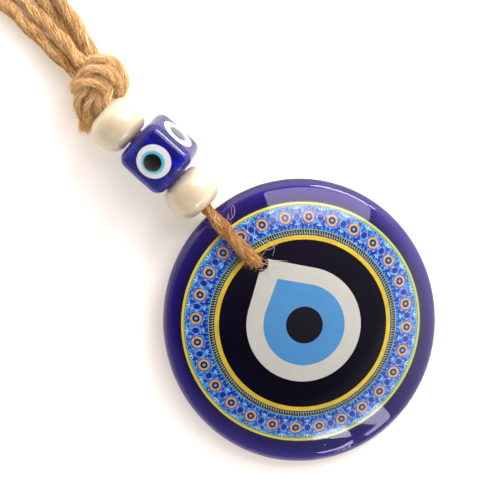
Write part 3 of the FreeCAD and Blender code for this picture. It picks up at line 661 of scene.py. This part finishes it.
def poured_outline(x, y):
    """Moves the glass outside the print to the disc's real outline."""
    radius, way = np.hypot(x, y), np.arctan2(x, y)
    push = (WIDER_BY * np.cos(2 * (way - WIDER_WAY)) + SHIFTED_BY * np.cos(way - SHIFTED_WAY) + 0.2)
    push = push * np.clip((radius - OUTLINE_FROM) / (DISC_RADIUS - OUTLINE_FROM), 0, 1) ** 2
    grown = 1 + push / np.maximum(radius, 1)
    return x * grown, y * grown


def disc_points(x, y, z):
    """Points in the frame from the disc's own coordinates in millimetres."""
    x, y, z = (np.asarray(value, float) for value in (x, y, z))
    return np.stack([x, y * math.cos(TILT) - z * math.sin(TILT), y * math.sin(TILT) + z * math.cos(TILT)],
                    axis=-1) * MM


def ring_faces(rows, columns, start=0, closed=False):
    """The faces between rings of points: each ring joins the next, and closed joins the last to the first."""
    faces = []
    for row in range(rows if closed else rows - 1):
        low, high = start + row * columns, start + (row + 1) % rows * columns
        for k in range(columns):
            after = (k + 1) % columns
            faces.append((low + k, low + after, high + after, high + k))
    return faces


def make_glass_disc(material):
    """Closed rings from the bore of the hole, over its mouth, the dome, the rim and the back, to the bore."""
    columns = 256
    turn = full_turn(columns)
    cos, sin = np.cos(turn), np.sin(turn)

    def shifted(share, radius):
        return HOLE[0] * (1 - share) + radius * cos, HOLE[1] * (1 - share) + radius * sin

    rings = []
    mouth = HOLE_RADIUS + HOLE_LIP
    for a in LIP_TURN[:-1]:  # the front mouth
        x, y = shifted(0, mouth - HOLE_LIP * math.cos(a))
        rings.append((x, y, dome_height(x, y)))
    for share in np.linspace(0, 1, 90) ** 0.9:  # the dome
        x, y = shifted(share, mouth + (DOME_EDGE - mouth) * share)
        rings.append((x, y, dome_height(x, y)))
    edge_lean = math.acos((DISC_RADIUS - RIM_ROUND) / (DOME_RADIUS - RIM_ROUND))
    for lean in np.linspace(edge_lean, 0, 15)[1:]:  # round to the widest line
        radius = DISC_RADIUS - RIM_ROUND + RIM_ROUND * math.cos(lean)
        x, y = shifted(1, radius)
        rings.append((x, y, RIM_HEIGHT + RIM_ROUND * math.sin(lean) + ripple(x, y) * math.sin(lean)))
    for lean in np.linspace(0, math.pi / 2, 9)[1:]:  # round to the back
        x, y = shifted(1, DISC_RADIUS - RIM_HEIGHT + RIM_HEIGHT * math.cos(lean))
        rings.append((x, y, np.full(columns, RIM_HEIGHT * (1 - math.sin(lean)))))
    for share in np.linspace(1, 0, 30)[1:]:  # the flat back
        x, y = shifted(share, mouth + (DISC_RADIUS - RIM_HEIGHT - mouth) * share)
        rings.append((x, y, np.zeros(columns)))
    for a in LIP_TURN[1:]:  # the back mouth
        x, y = shifted(0, mouth - HOLE_LIP * math.sin(a))
        rings.append((x, y, np.full(columns, HOLE_LIP * (1 - math.cos(a)))))
    points = np.concatenate([disc_points(*poured_outline(x, y), z) for x, y, z in rings])
    faces = outward(points, ring_faces(len(rings), columns, closed=True))
    hand_over(add_piece("poured_glass_disc", points, faces, material), "disc", "glass_disc")


# ---------------------------------------------------------------- the print
LAYER = 0.016  # each colour lies this much above the one below, millimetres
PRINT_THICK = 0.03
PRINT_CLEAR = HOLE_RADIUS + HOLE_LIP + 0.1  # the print stops this far from the hole's middle
BORDER_OUTER, BAND_OUTER, BAND_INNER, CHAIN_INNER, BORDER_INNER = 32.2, 31.4, 25.15, 23.55, 22.45
FLOWERS = 28
FLOWER_ORBIT = 28.4
FLOWER_START = math.radians(11.87)  # the first flower, clockwise from the disc's own y
CHAIN_LINKS = 8 * FLOWERS
FINE_LINE = 0.13
# The colours as shown on a screen, how far each varies and how fine its flecks are.
PRINT_COLOURS = {
    "gold": ((190, 152, 92), 0.22, 900), "yellow": ((202, 172, 42), 0.14, 260),
    "pale_line": ((150, 176, 128), 0.25, 900), "dark": ((17, 23, 33), 0.2, 260),
    "periwinkle": ((84, 112, 222), 0.2, 900), "lilac": ((142, 154, 216), 0.2, 900),
    "deep_blue": ((10, 38, 132), 0.3, 900), "cyan": ((52, 146, 210), 0.25, 900),
    "pale": ((160, 208, 218), 0.15, 900), "white": ((184, 186, 180), 0.04, 260),
    "sky_blue": ((71, 134, 189), 0.05, 260), "black": ((9, 12, 18), 0.2, 260),
    "link": ((168, 180, 170), 0.15, 900),
}


class Print:
    """One colour of the print: flat shapes in the disc's plane, laid on the dome at a level."""

    def __init__(self, level):
        self.level, self.points, self.faces = level, [], []

    def add(self, x, y, faces):
        start = len(self.points)
        away = np.maximum(np.hypot(x - HOLE[0], y - HOLE[1]), 1e-6)
        push = np.maximum(PRINT_CLEAR, away) / away
        x, y = HOLE[0] + (x - HOLE[0]) * push, HOLE[1] + (y - HOLE[1]) * push
        self.points.extend(disc_points(x, y, dome_height(x, y) + LAYER * self.level))
        for face in faces:
            face = list(face)
            if all(push[k] > 1 for k in face):  # this one lies wholly over the hole
                continue
            area = sum(x[a] * y[b] - x[b] * y[a] for a, b in zip(face, face[1:] + face[:1]))
            self.faces.append(tuple(start + k for k in (face if area > 0 else face[::-1])))

    def ring(self, inner, outer, rows=2, columns=448):
        turn = full_turn(columns)
        radius = np.linspace(inner, outer, rows)[:, None]
        self.add((radius * np.sin(turn)).ravel(), (radius * np.cos(turn)).ravel(),
                 [face[::-1] for face in ring_faces(rows, columns)])

    def fan(self, outline, rings=1):
        """A filled outline that every point of its middle can see."""
        outline = np.asarray(outline, float)
        middle = outline.mean(axis=0)
        count = len(outline)
        rows = np.vstack([middle, *(middle + (outline - middle) * (k + 1) / rings for k in range(rings))])
        faces = [(0, 1 + k, 1 + (k + 1) % count) for k in range(count)]
        faces += ring_faces(rings, count, start=1)
        self.add(rows[:, 0], rows[:, 1], faces)

    def line(self, path, width, closed=False):
        path = np.asarray(path, float)
        ahead = np.roll(path, -1, axis=0) - np.roll(path, 1, axis=0) if closed else np.gradient(path, axis=0)
        ahead = ahead / np.linalg.norm(ahead, axis=1, keepdims=True)
        aside = np.stack([-ahead[:, 1], ahead[:, 0]], axis=1) * width / 2
        rows = np.concatenate([path + aside, path - aside])
        count = len(path)
        faces = [(k, k + count, (k + 1) % count + count, (k + 1) % count)
                 for k in range(count if closed else count - 1)]
        self.add(rows[:, 0], rows[:, 1], faces)

    def make(self, name, material, node, slot):
        count = len(self.points)
        down = disc_points(0, 0, -PRINT_THICK)
        around = {(a, b) for face in self.faces for a, b in zip(face, face[1:] + face[:1])}
        border = [(a, b) for a, b in around if (b, a) not in around]
        faces = self.faces + [tuple(k + count for k in reversed(face)) for face in self.faces]
        faces += [(b, a, a + count, b + count) for a, b in sorted(border)]
        piece = add_piece(name, self.points + [point + down for point in self.points], faces, material)
        sharp = {frozenset(edge) for edge in border} | {frozenset((a + count, b + count)) for a, b in border}
        for edge in piece.data.edges:
            edge.use_edge_sharp = frozenset(edge.vertices) in sharp
        hand_over(piece, "disc", node)


def polar(radius, turn):
    """Flat points at a radius and an angle that runs clockwise from y."""
    return np.stack([radius * np.sin(turn), radius * np.cos(turn)], axis=-1)


def turned(across, along, x, y, lean):
    """An outline about x, y, turned clockwise by its lean in degrees."""
    sin, cos = math.sin(math.radians(lean)), math.cos(math.radians(lean))
    return np.stack([x + across * cos + along * sin, y - across * sin + along * cos], axis=1)


def oval(x, y, half_width, half_height, lean=0.0, count=14):
    turn = full_turn(count)
    return turned(half_width * np.sin(turn), half_height * np.cos(turn), x, y, lean)


def leaf(x, y, half_width, half_height, lean=0.0):
    """A pointed leaf, by narrowing an oval towards its two ends."""
    across, along = oval(0, 0, 1, 1, 0, 16).T
    return turned(across * np.abs(across) ** 0.5 * half_width, along * half_height, x, y, lean)


def star(radius_out, radius_in, points=8):
    radius = np.where(np.arange(2 * points) % 2 == 0, radius_out, radius_in)
    return polar(radius, np.arange(2 * points) * math.pi / points)


def on_band(shape, angle):
    """Places a shape drawn about a flower's middle, y outwards, at an angle round the band."""
    shape = np.asarray(shape, float)
    return polar(FLOWER_ORBIT + shape[:, 1], angle + shape[:, 0] / FLOWER_ORBIT)


def drop(radius, tip):
    """A round outline drawn out to a tip, with straight flanks that leave the round smoothly."""
    reach = math.hypot(*tip)
    heading = math.atan2(tip[0], tip[1])
    touch = math.acos(radius / reach)
    arc = polar(radius, heading + np.linspace(touch, 2 * math.pi - touch, 150))
    flank, tip = np.linspace(0, 1, 26)[1:, None], np.array(tip)
    return np.concatenate([arc, arc[-1] + (tip - arc[-1]) * flank, tip + (arc[0] - tip) * flank[:-1]])


GLOSS = {"Roughness": 0.16, "Coat_Weight": 0.6, "Coat_Roughness": 0.03}


def print_material(name, colour, variation, scale):
    """A fired print under gloss: its colour drifts a little, with fine specks."""
    material, tree, shader = new_material(name, **GLOSS)
    low = tuple(c * (1 - variation) for c in colour[:3]) + (1.0,)
    high = tuple(min(1, c * (1 + variation)) for c in colour[:3]) + (1.0,)
    mottled = ramp(tree, object_noise(tree, scale, 4.0, 0.6), (0.3, low), (0.7, high))
    tree.links.new(mottled, shader.inputs["Base Color"])
    return material


def band_material():
    """The blue ground of the band: royal blue, cyan and dark blue tiles of brush marks."""
    material, tree, shader = new_material("band_blue", **GLOSS)
    cells = add_node(tree, "TexVoronoi", [("Vector", object_place(tree)), ("Scale", 1050.0)])
    tone = add_node(tree, "SeparateColor", [("Color", cells.outputs["Color"])]).outputs["Red"]
    colour = ramp(tree, tone, (0.0, srgb(12, 44, 142)), (0.35, srgb(18, 64, 170)), (0.6, srgb(24, 84, 190)),
                  (0.85, srgb(28, 112, 204)), (1.0, srgb(84, 164, 218)))
    tree.links.new(colour, shader.inputs["Base Color"])
    return material


def outer_line_material():
    """The outer line's yellow turns to a pale green towards one side."""
    material, tree, shader = new_material("print_outer_line", **GLOSS)
    share = remap(tree, dot(tree, object_place(tree), (25.0, -10.0, 0.0)), -1.0, 1.0)
    colour = ramp(tree, share, (0.0, srgb(206, 190, 74)), (0.55, srgb(200, 200, 92)),
                  (1.0, srgb(150, 176, 104)))
    tree.links.new(colour, shader.inputs["Base Color"])
    return material


def make_print():
    looks = {name: print_material("print_" + name, srgb(*colour), variation, scale)
             for name, (colour, variation, scale) in PRINT_COLOURS.items()}
    for name, level, rings, look, node, slot in (
            ("outer_yellow_line", 1, [(BAND_OUTER + 0.14, BORDER_OUTER, 3)], outer_line_material(),
             "print_outer_border", "yellow_print"),
            ("thin_pale_lines", 2, [(BAND_OUTER - 0.22, BAND_OUTER), (BAND_INNER - 0.1, BAND_INNER + 0.06),
                                    (CHAIN_INNER - 0.02, CHAIN_INNER + 0.1)],
             looks["pale_line"], None, "yellow_print"),
            ("band_ground", 1, [(BAND_INNER, BAND_OUTER, 10)], band_material(),
             "print_pattern_band", "pattern_print"),
            # The dark ground under the chain, and a thin dark ring just outside the outer yellow line.
            ("chain_ground", 1, [(CHAIN_INNER, BAND_INNER, 4), (BORDER_OUTER, BORDER_OUTER + 0.28)],
             looks["dark"], "print_chain_ring", "chain_print"),
            ("inner_yellow_line", 1, [(BORDER_INNER, CHAIN_INNER, 3)], looks["yellow"],
             "print_inner_border", "yellow_print")):
        layer = Print(level)
        for ring in rings:
            layer.ring(*ring)
        layer.make(name, look, node, slot)
    make_flowers(looks)
    links = Print(2)
    middle = (BAND_INNER + CHAIN_INNER) / 2 - FLOWER_ORBIT
    hook = [(x, middle + y) for x, y in ((-0.14, 0.55), (-0.15, 0.1), (-0.10, -0.32), (0.02, -0.5),
                                         (0.13, -0.36), (0.17, -0.05))]
    for angle in full_turn(CHAIN_LINKS):
        links.line(on_band(hook, angle), FINE_LINE)
    links.make("chain_links", looks["link"], None, "chain_print")
    for name, outline, level, look, node, slot in (
            ("white_drop", drop(15.3, (1.04, 20.69)), 1, "white", "print_white_drop", "white_print"),
            ("blue_drop", drop(10.85, (1.09, 14.13)), 2, "sky_blue", "print_blue_drop", "blue_print"),
            ("black_pupil", oval(0, 0, 4.9, 4.9, 0, 96), 3, "black", "print_pupil", "black_print")):
        layer = Print(level)
        layer.fan(outline, 26)
        layer.make(name, looks[look], node, slot)


def make_flowers(looks):
    """The band's round flowers in their stars, with diamonds, leaves and fans between them."""
    petals, eyes, dots, glints = (Print(level) for level in (3, 4, 5, 6))
    stars, diamonds, leaves, fans = (Print(level) for level in (3, 2, 2, 3))
    step = 2 * math.pi / FLOWERS
    half = FLOWER_ORBIT * step / 2
    turn = full_turn(48)
    scalloped = polar(1.42 + 0.16 * np.abs(np.cos(4 * turn)) ** 0.7, turn)
    shapes, strokes = [(petals, scalloped, 2)], []
    shapes += [(layer, oval(0, 0, size, size, 0, sides))
               for layer, size, sides in ((eyes, 0.95, 24), (dots, 0.48, 16), (glints, 0.15, 10))]
    for spot in (-2.0, -1.0, 0.0, 1.0, 2.0):
        shapes += [(leaves, leaf(spot * 1.15, -2.82, 0.2, 0.3, spot * 25)),
                   (diamonds, oval(spot * 1.15 + 0.55, -2.5, 0.28, 0.42, 0, 4))]
    for lean in range(0, 360, 45):
        shapes.append((fans, oval(*polar(2.08, math.radians(lean)), 0.10, 0.20, lean, 8)))
    shapes.append((diamonds, oval(half, 0.05, 0.82, 1.55, 0, 4)))
    for side in (-1, 1):
        edge = side * half
        strokes += [[(edge - side * 1.05, 0.05), (edge - side * 0.1, 1.85), (edge + side * 0.35, 2.35)],
                    [(edge - side * 1.05, 0.05), (edge - side * 0.1, -1.6), (edge + side * 0.3, -2.1)]]
        shapes += [(leaves, leaf(side * 1.7, 2.35, 0.34, 0.62, side * 58)),
                   (leaves, leaf(side * 0.62, 2.62, 0.24, 0.42, side * -20)),
                   (diamonds, leaf(side * 1.75, -1.85, 0.34, 0.62, side * -52)),
                   (fans, leaf(half + side * 0.62, 2.32, 0.17, 0.46, side * 42)),
                   (fans, leaf(half + side * 0.5, -1.9, 0.12, 0.34, side * 130))]
    shapes += [(fans, leaf(half, 2.42, 0.2, 0.52)), (fans, leaf(half, -2.0, 0.13, 0.36)),
               (leaves, leaf(half, -1.1, 0.26, 0.5)), (leaves, oval(half, 1.15, 0.22, 0.34))]
    for index in range(FLOWERS):
        angle = FLOWER_START + index * step
        for layer, shape, *rings in shapes:
            layer.fan(on_band(shape, angle), *rings)
        stars.line(on_band(star(2.4, 1.74), angle), FINE_LINE, closed=True)
        for stroke in strokes:
            stars.line(on_band(stroke, angle), FINE_LINE)
    petals.make("flower_petals", looks["gold"], "print_flowers", "gold_print")
    eyes.make("flower_eyes", looks["dark"], None, "chain_print")
    for name, layer, look in (("flower_dots", dots, "periwinkle"), ("flower_glints", glints, "pale"),
                              ("star_lines", stars, "lilac"), ("blue_diamonds", diamonds, "deep_blue"),
                              ("cyan_leaves", leaves, "cyan"), ("pale_fans", fans, "pale")):
        layer.make(name, looks[look], None, "pattern_print")


SPECKS, SPECK_SIDES = 120, 6
RIM_SPECKS, FIELD_SPECKS = (33.0, 35.4), (16.5, 22.0)  # how far out they lie


def make_specks():
    """Dust and seed bubbles that show as pale points on the dark glass."""
    rng = np.random.default_rng(23)
    pale = new_material("pale_specks", Roughness=0.5, Base_Color=srgb(190, 184, 204))[0]
    by_rim = rng.uniform(0, 1, SPECKS) < 0.8
    radius = np.where(by_rim, rng.uniform(*RIM_SPECKS, SPECKS), rng.uniform(*FIELD_SPECKS, SPECKS))
    way = rng.uniform(0, 2 * math.pi, SPECKS)
    turn, sides = full_turn(SPECK_SIDES), range(SPECK_SIDES)
    points, faces = [], []
    for middle, angle, size in zip(radius, way, rng.lognormal(-2.9, 0.45, SPECKS)):
        start = len(points)
        across = middle * math.sin(angle) + size * np.append(np.sin(turn), 0)
        along = middle * math.cos(angle) + size * np.append(np.cos(turn), 0)
        top = dome_height(across, along)
        rise = np.append(np.full(SPECK_SIDES, -0.04), size * 0.5)
        points.extend(disc_points(*poured_outline(across, along), top + rise))
        faces += [(start + (k + 1) % SPECK_SIDES, start + k, start + SPECK_SIDES) for k in sides]
        faces.append(tuple(start + k for k in sides))
    hand_over(add_piece("glass_specks", points, faces, pale), "disc")


def cobalt_glass(name, density, clear=1.0, body=srgb(176, 150, 238)):
    """Cobalt glass: clear at the surface, and its blue deepens with the way that light has in it."""
    material, tree, shader = new_material(name, Roughness=0.02, IOR=1.5, Transmission_Weight=clear,
                                          Base_Color=body)
    absorb = add_node(tree, "VolumeAbsorption")
    absorb.inputs["Color"].default_value = (0.22, 0.03, 0.74, 1.0)
    absorb.inputs["Density"].default_value = density
    tree.links.new(absorb.outputs["Volume"], tree.nodes["Material Output"].inputs["Volume"])
    add_bump(tree, shader, object_noise(tree, 90.0, 2.0), 0.10, 0.15 * MM)
    return material


# ---------------------------------------------------------------- beads
def bead_axes(node, heading, shift, roll=0.0):
    """A matrix that stands a bead's z along the cord, shifted in millimetres from its CAD box's middle."""
    low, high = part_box(node)
    middle = (Vector(low) + Vector(high)) / 2 + Vector(shift) * MM
    turn = Matrix.Rotation(-math.radians(heading), 4, "Z") @ Matrix.Rotation(math.radians(-90), 4, "X")
    return Matrix.Translation(middle) @ turn @ Matrix.Rotation(math.radians(roll), 4, "Z")


BEAD_RADIUS, BEAD_LENGTH, BEAD_BORE = 7.4, 11.5, 3.4
BEAD_SQUARENESS = 2.7  # 2 is an oval section, and more is fuller
BEAD_MOUTH = 4.1


def make_round_bead(name, node, body, heading, shift, material, seed):
    """A glazed bead: rings over its crown, round its mouths and through its bore."""
    half = BEAD_LENGTH / 2
    crown = []
    for a in np.linspace(-math.pi / 2, math.pi / 2, 121):
        radius = BEAD_RADIUS * abs(math.cos(a)) ** (2 / BEAD_SQUARENESS)
        if radius > BEAD_MOUTH:
            crown.append((radius, half * math.copysign(abs(math.sin(a)) ** (2 / BEAD_SQUARENESS), a)))
    top = crown[-1][1]
    lip = BEAD_MOUTH - BEAD_BORE
    profile = crown + [(BEAD_MOUTH - lip * math.sin(a), top - lip * (1 - math.cos(a)))
                       for a in np.linspace(0.2, math.pi / 2, 7)]
    profile += [(BEAD_BORE, z) for z in np.linspace(top - lip, lip - top, 16)[1:-1]]
    profile += [(BEAD_MOUTH - lip * math.cos(a), lip * (1 - math.sin(a)) - top)
                for a in np.linspace(0, math.pi / 2 - 0.2, 7)]
    columns = 96
    turn = full_turn(columns)
    rng = np.random.default_rng(seed)
    phase = rng.uniform(0, 6, 3)
    points = []
    for radius, z in profile:
        wobble = 1 + 0.004 * np.sin(2 * turn + phase[0]) + 0.003 * np.sin(3 * turn + z / 3 + phase[1])
        points.append(level_ring(radius * wobble, z + 0.05 * np.sin(turn + phase[2]), turn))
    points = np.concatenate(points) * MM
    faces = outward(points, ring_faces(len(profile), columns, closed=True))
    bead = add_piece(name, points, faces, material)
    bead.matrix_world = bead_axes(node, heading, shift)
    hand_over(bead, body, node)


def ivory_material():
    """Glazed ivory: warm, a little see-through, with faint clouds."""
    material, tree, shader = new_material("ivory_glaze", Roughness=0.22, Subsurface_Weight=0.45,
                                          Subsurface_Scale=2.5 * MM, Subsurface_Radius=(1.0, 0.75, 0.5),
                                          Coat_Weight=1.0, Coat_Roughness=0.035)
    clouds = ramp(tree, object_noise(tree, 180.0), (0.3, srgb(212, 196, 166)), (0.7, srgb(225, 214, 190)))
    tree.links.new(clouds, shader.inputs["Base Color"])
    add_bump(tree, shader, object_noise(tree, 320.0, 2.0), 0.08, 0.1 * MM)
    return material


CUBE_HALF, CUBE_ROUND, CUBE_BULGE = 7.0, 2.6, 0.22
CUBE_LIP = 0.8
CUBE_SIZE = 1.05  # over the plain cube of the CAD bead
CUBE_SHIFT = (0.07, -0.34, 0.42)
CUBE_HEADING, CUBE_ROLL = -13.5, -21.0


def rounded_cube(directions):
    """Where rays from the middle of the cube bead leave it."""
    inner = CUBE_HALF - CUBE_ROUND
    near, far = np.zeros(len(directions)), np.full(len(directions), 2.0 * CUBE_HALF)
    for _ in range(40):
        middle = (near + far) / 2
        points = np.abs(directions * middle[:, None])
        inside = np.linalg.norm(np.maximum(points - inner, 0), axis=1) < CUBE_ROUND
        near, far = np.where(inside, middle, near), np.where(inside, far, middle)
    points = directions * near[:, None]
    flatness = np.sort(np.abs(points), axis=1)
    bulge = CUBE_BULGE * (1 - (flatness[:, 0] / CUBE_HALF) ** 2) * (1 - (flatness[:, 1] / CUBE_HALF) ** 2)
    return (points + directions * bulge[:, None]) * CUBE_SIZE


def make_cube_bead():
    glass = cobalt_glass("cube_glass", 190.0, 0.86, srgb(58, 62, 226))
    columns, rows = 160, 110
    mouth = BEAD_BORE + CUBE_LIP
    lean = math.atan2(mouth, CUBE_HALF)
    turn = full_turn(columns)
    rings = []
    for a in np.linspace(lean, math.pi - lean, rows):
        rings.append(rounded_cube(level_ring(np.sin(a), np.cos(a), turn)))
    rings[0][:, :2] = level_ring(mouth, 0, turn)[:, :2]
    top = float(rings[0][:, 2].mean())
    inside = [(mouth - CUBE_LIP * math.sin(a), -top + CUBE_LIP * (1 - math.cos(a)))
              for a in LIP_TURN[1:]]
    inside += [(BEAD_BORE, z) for z in np.linspace(CUBE_LIP - top, top - CUBE_LIP, 14)[1:-1]]
    inside += [(mouth - CUBE_LIP * math.cos(a), top - CUBE_LIP * (1 - math.sin(a)))
               for a in LIP_TURN[:-1]]
    rings += [level_ring(radius, z, turn) for radius, z in inside]
    place = bead_axes("cube_bead_glass", CUBE_HEADING, CUBE_SHIFT, CUBE_ROLL)
    points = np.concatenate(rings) * MM
    faces = outward(points, ring_faces(len(rings), columns, closed=True))
    cube = add_piece("cube_bead_cast_glass", points, faces, glass)
    cube.matrix_world = place
    hand_over(cube, "cube_bead_body", "cube_bead_glass")
    make_cube_eyes(place)


# Each of the spots in an eye: its piece, node and slot, its radius, its edge's height and its crown.
EYE_SPOTS = (("cube_eye_white_dots", "cube_eye_whites", "eye_white", 4.75, 0.00, 0.16),
             ("cube_eye_blue_dots", "cube_eye_irises", "eye_blue", 3.40, 0.12, 0.12),
             ("cube_eye_black_dots", "cube_eye_pupils", "eye_black", 2.45, 0.20, 0.14))
EYE_DRIFT = 0.35
EYE_RINGS = 16
EYE_INSET, EYE_DEPTH = 0.03, 0.5  # how far the spots' edges and backs are sunk in the glass


def eye_material(name, edge, middle):
    """Melted glass paint: the colour goes from its edge to its middle, read from the dot's own radius."""
    material, tree, shader = new_material(name, Roughness=0.12, Coat_Weight=0.8, Coat_Roughness=0.03)
    uv = add_node(tree, "UVMap", uv_map="radial")
    share = add_node(tree, "SeparateXYZ", [("Vector", uv.outputs["UV"])]).outputs["X"]
    blur = remap(tree, object_noise(tree, 700.0), 0.0, 1.0, -0.05, 0.05)
    blurred = add_node(tree, "Math", [(0, share), (1, blur)], operation="ADD").outputs[0]
    tree.links.new(ramp(tree, blurred, *middle, *edge), shader.inputs["Base Color"])
    return material


def make_cube_eyes(place):
    looks = {
        "eye_white": eye_material("eye_white_glass", [(1.0, srgb(228, 232, 232))],
                                  [(0.0, srgb(236, 238, 236))]),
        "eye_blue": eye_material("eye_blue_glass", [(0.88, srgb(120, 200, 224)), (1.0, srgb(206, 230, 236))],
                                 [(0.66, srgb(52, 168, 214))]),
        "eye_black": eye_material("eye_black_glass", [(0.95, srgb(14, 16, 20)), (1.0, srgb(24, 60, 80))],
                                  [(0.0, srgb(12, 13, 16))]),
    }
    columns = 64
    turn = full_turn(columns)
    along = np.array([0.0, 0.0, 1.0])
    for level, (name, node, slot, radius, base, crown) in enumerate(EYE_SPOTS):
        points, faces, shares = [], [], []
        for side in range(4):
            start = len(points)
            across = np.array([math.cos(side * math.pi / 2), math.sin(side * math.pi / 2), 0.0])
            beside = np.cross(along, across)
            middle = -beside * EYE_DRIFT * level * 0.5 + along * EYE_DRIFT * level * 0.1
            for row, share in enumerate([*np.linspace(0.08, 1.0, EYE_RINGS), 1.0]):
                spots = beside * np.cos(turn)[:, None] + along * np.sin(turn)[:, None]
                spots = middle + spots * share * radius
                flank = CUBE_BULGE * (1 - (np.abs(spots[:, 2]) / CUBE_HALF) ** 2)
                cap = CUBE_HALF + flank * (1 - (spots @ beside / CUBE_HALF) ** 2)
                rise = -EYE_DEPTH if row == EYE_RINGS else base + crown * (1 - share ** 4) - EYE_INSET
                points.extend(spots + across * (cap * CUBE_SIZE + rise)[:, None])
                shares.extend([share] * columns)
            top = len(points)
            height = (CUBE_HALF + CUBE_BULGE) * CUBE_SIZE + base + crown - EYE_INSET
            points += [middle + across * height, middle + across * (CUBE_HALF * CUBE_SIZE - EYE_DEPTH)]
            shares.extend([0.0, 1.0])
            faces += ring_faces(EYE_RINGS + 1, columns, start=start)
            low = start + EYE_RINGS * columns
            for k in range(columns):
                after = (k + 1) % columns
                faces += [(top, start + after, start + k), (top + 1, low + k, low + after)]
        points = np.array(points) * MM
        piece = add_piece(name, points, outward(points, faces), looks[slot])
        set_uv(piece.data, "radial", np.stack([shares, np.zeros(len(shares))], axis=1))
        piece.matrix_world = place
        hand_over(piece, "cube_bead_body", node)


# ---------------------------------------------------------------- floor and lights
SKY_STRENGTH = 2.36
DARK_SIDE = 0.28  # how bright the sky is on the side away from the windows
PAINTED_FLOOR_GLOW = 0.31  # painted light: the floor glows a little, warm, to lighten the shadows round the ornament, but not under the disc
GLOW_FROM = (26 * MM, 37 * MM)  # it grows between these distances from the disc's middle
FLOOR_HALF = 1.5


def make_stage():
    # Painted light: the floor's warm glow lifts and warms the shadows that the ornament casts.
    material, tree, shader = new_material("floor", Roughness=0.55, Specular_IOR_Level=0.3,
                                          Emission_Color=(1.0, 0.91, 0.77, 1.0))
    colour = ramp(tree, object_noise(tree, 3.0), (0.3, srgb(243, 240, 237)), (0.7, srgb(250, 248, 246)))
    tree.links.new(colour, shader.inputs["Base Color"])
    away = add_node(tree, "VectorMath", [(0, object_place(tree))], operation="LENGTH").outputs["Value"]
    tree.links.new(remap(tree, away, *GLOW_FROM, to_high=PAINTED_FLOOR_GLOW), shader.inputs["Emission Strength"])
    corners = [(x * FLOOR_HALF, y * FLOOR_HALF, GROUND) for x, y in ((-1, -1), (1, -1), (1, 1), (-1, 1))]
    add_piece("floor", corners, [(0, 1, 2, 3)], material)
    world = bpy.data.worlds.new("studio")
    world.use_nodes = True
    tree = world.node_tree
    place = add_node(tree, "TexCoord")
    height = add_node(tree, "SeparateXYZ", [("Vector", place.outputs["Generated"])]).outputs["Z"]
    sky = ramp(tree, height, (0.0, (1.14, 1.06, 0.92, 1)), (0.62, (0.94, 0.88, 0.77, 1)),
               (0.78, (0.17, 0.15, 0.165, 1)), (1.0, (0.13, 0.105, 0.13, 1)))
    right, up = picture_axes()
    facing = dot(tree, place.outputs["Generated"], (right * 0.5 + up * 0.85).normalized())
    side = remap(tree, facing, -0.45, 0.45, DARK_SIDE, 1.0, interpolation_type="SMOOTHSTEP")
    background = tree.nodes["Background"]
    tree.links.new(scaled(tree, sky, side), background.inputs["Color"])
    background.inputs["Strength"].default_value = SKY_STRENGTH
    bpy.context.scene.world = world
    bpy.context.scene.view_settings.view_transform = "Standard"


def picture_axes():
    """The picture's right and up on the floor, so that lights are placed as the picture shows them."""
    turn = bpy.context.scene.camera.matrix_world.to_3x3()
    right = Vector((turn.col[0].x, turn.col[0].y, 0)).normalized()
    up = Vector((turn.col[1].x, turn.col[1].y, 0)).normalized()
    return right, up


WINDOW_DISTANCE = 0.9
WINDOW_AIM = (0, 25, 5)
# Each window's name, its way across and up the picture, elevation, width, height, power, colour and roll.
WINDOWS = (
    ("key_window", 0.62, 0.90, 34, 0.46, 0.20, 4.5, srgb(255, 250, 244), 0),
    ("high_window", 0.50, 0.86, 55.5, 0.56, 0.17, 1.7, srgb(240, 228, 250), 30),
    ("low_window_left", 0.40, -0.92, 30, 0.15, 0.17, 0.85, srgb(226, 226, 250), 0),
    ("low_window_right", 0.63, -0.78, 29, 0.14, 0.17, 0.60, srgb(226, 226, 250), 0),
    ("low_pane", 0.42, -0.907, 11, 0.09, 0.045, 0.25, srgb(250, 250, 255), 0),
)


def add_window(name, right_way, up_way, elevation, width, height, power, colour, roll):
    """A soft rectangular light that faces the disc, from a direction in the picture."""
    right, up = picture_axes()
    flat_way = (right * right_way + up * up_way).normalized()
    lift = math.radians(elevation)
    way = flat_way * math.cos(lift) + Vector((0, 0, math.sin(lift)))
    lamp = bpy.data.lights.new(name, "AREA")
    lamp.shape = "RECTANGLE"
    lamp.size, lamp.size_y = width, height
    lamp.energy = power
    lamp.color = colour[:3]
    light = bpy.data.objects.new(name, lamp)
    bpy.context.scene.collection.objects.link(light)
    across = way.cross((0, 0, 1)).normalized()
    turn = Matrix((across, way.cross(across), way)).transposed() @ Matrix.Rotation(math.radians(roll), 3, "Z")
    place = on_ground(*WINDOW_AIM) + way * WINDOW_DISTANCE
    light.matrix_world = Matrix.Translation(place) @ turn.to_4x4()


make_camera()
make_cords()
make_glass_disc(cobalt_glass("cobalt_glass", 600.0))
make_print()
make_specks()
ivory = ivory_material()
make_round_bead("lower_ivory_bead", "lower_bead", "lower_bead_body", -8.0, (0.06, 0, 0), ivory, 5)
make_round_bead("upper_ivory_bead", "upper_bead", "upper_bead_body", -13.0, (0.13, -0.5, 0), ivory, 6)
make_cube_bead()
make_stage()
for window in WINDOWS:
    add_window(*window)
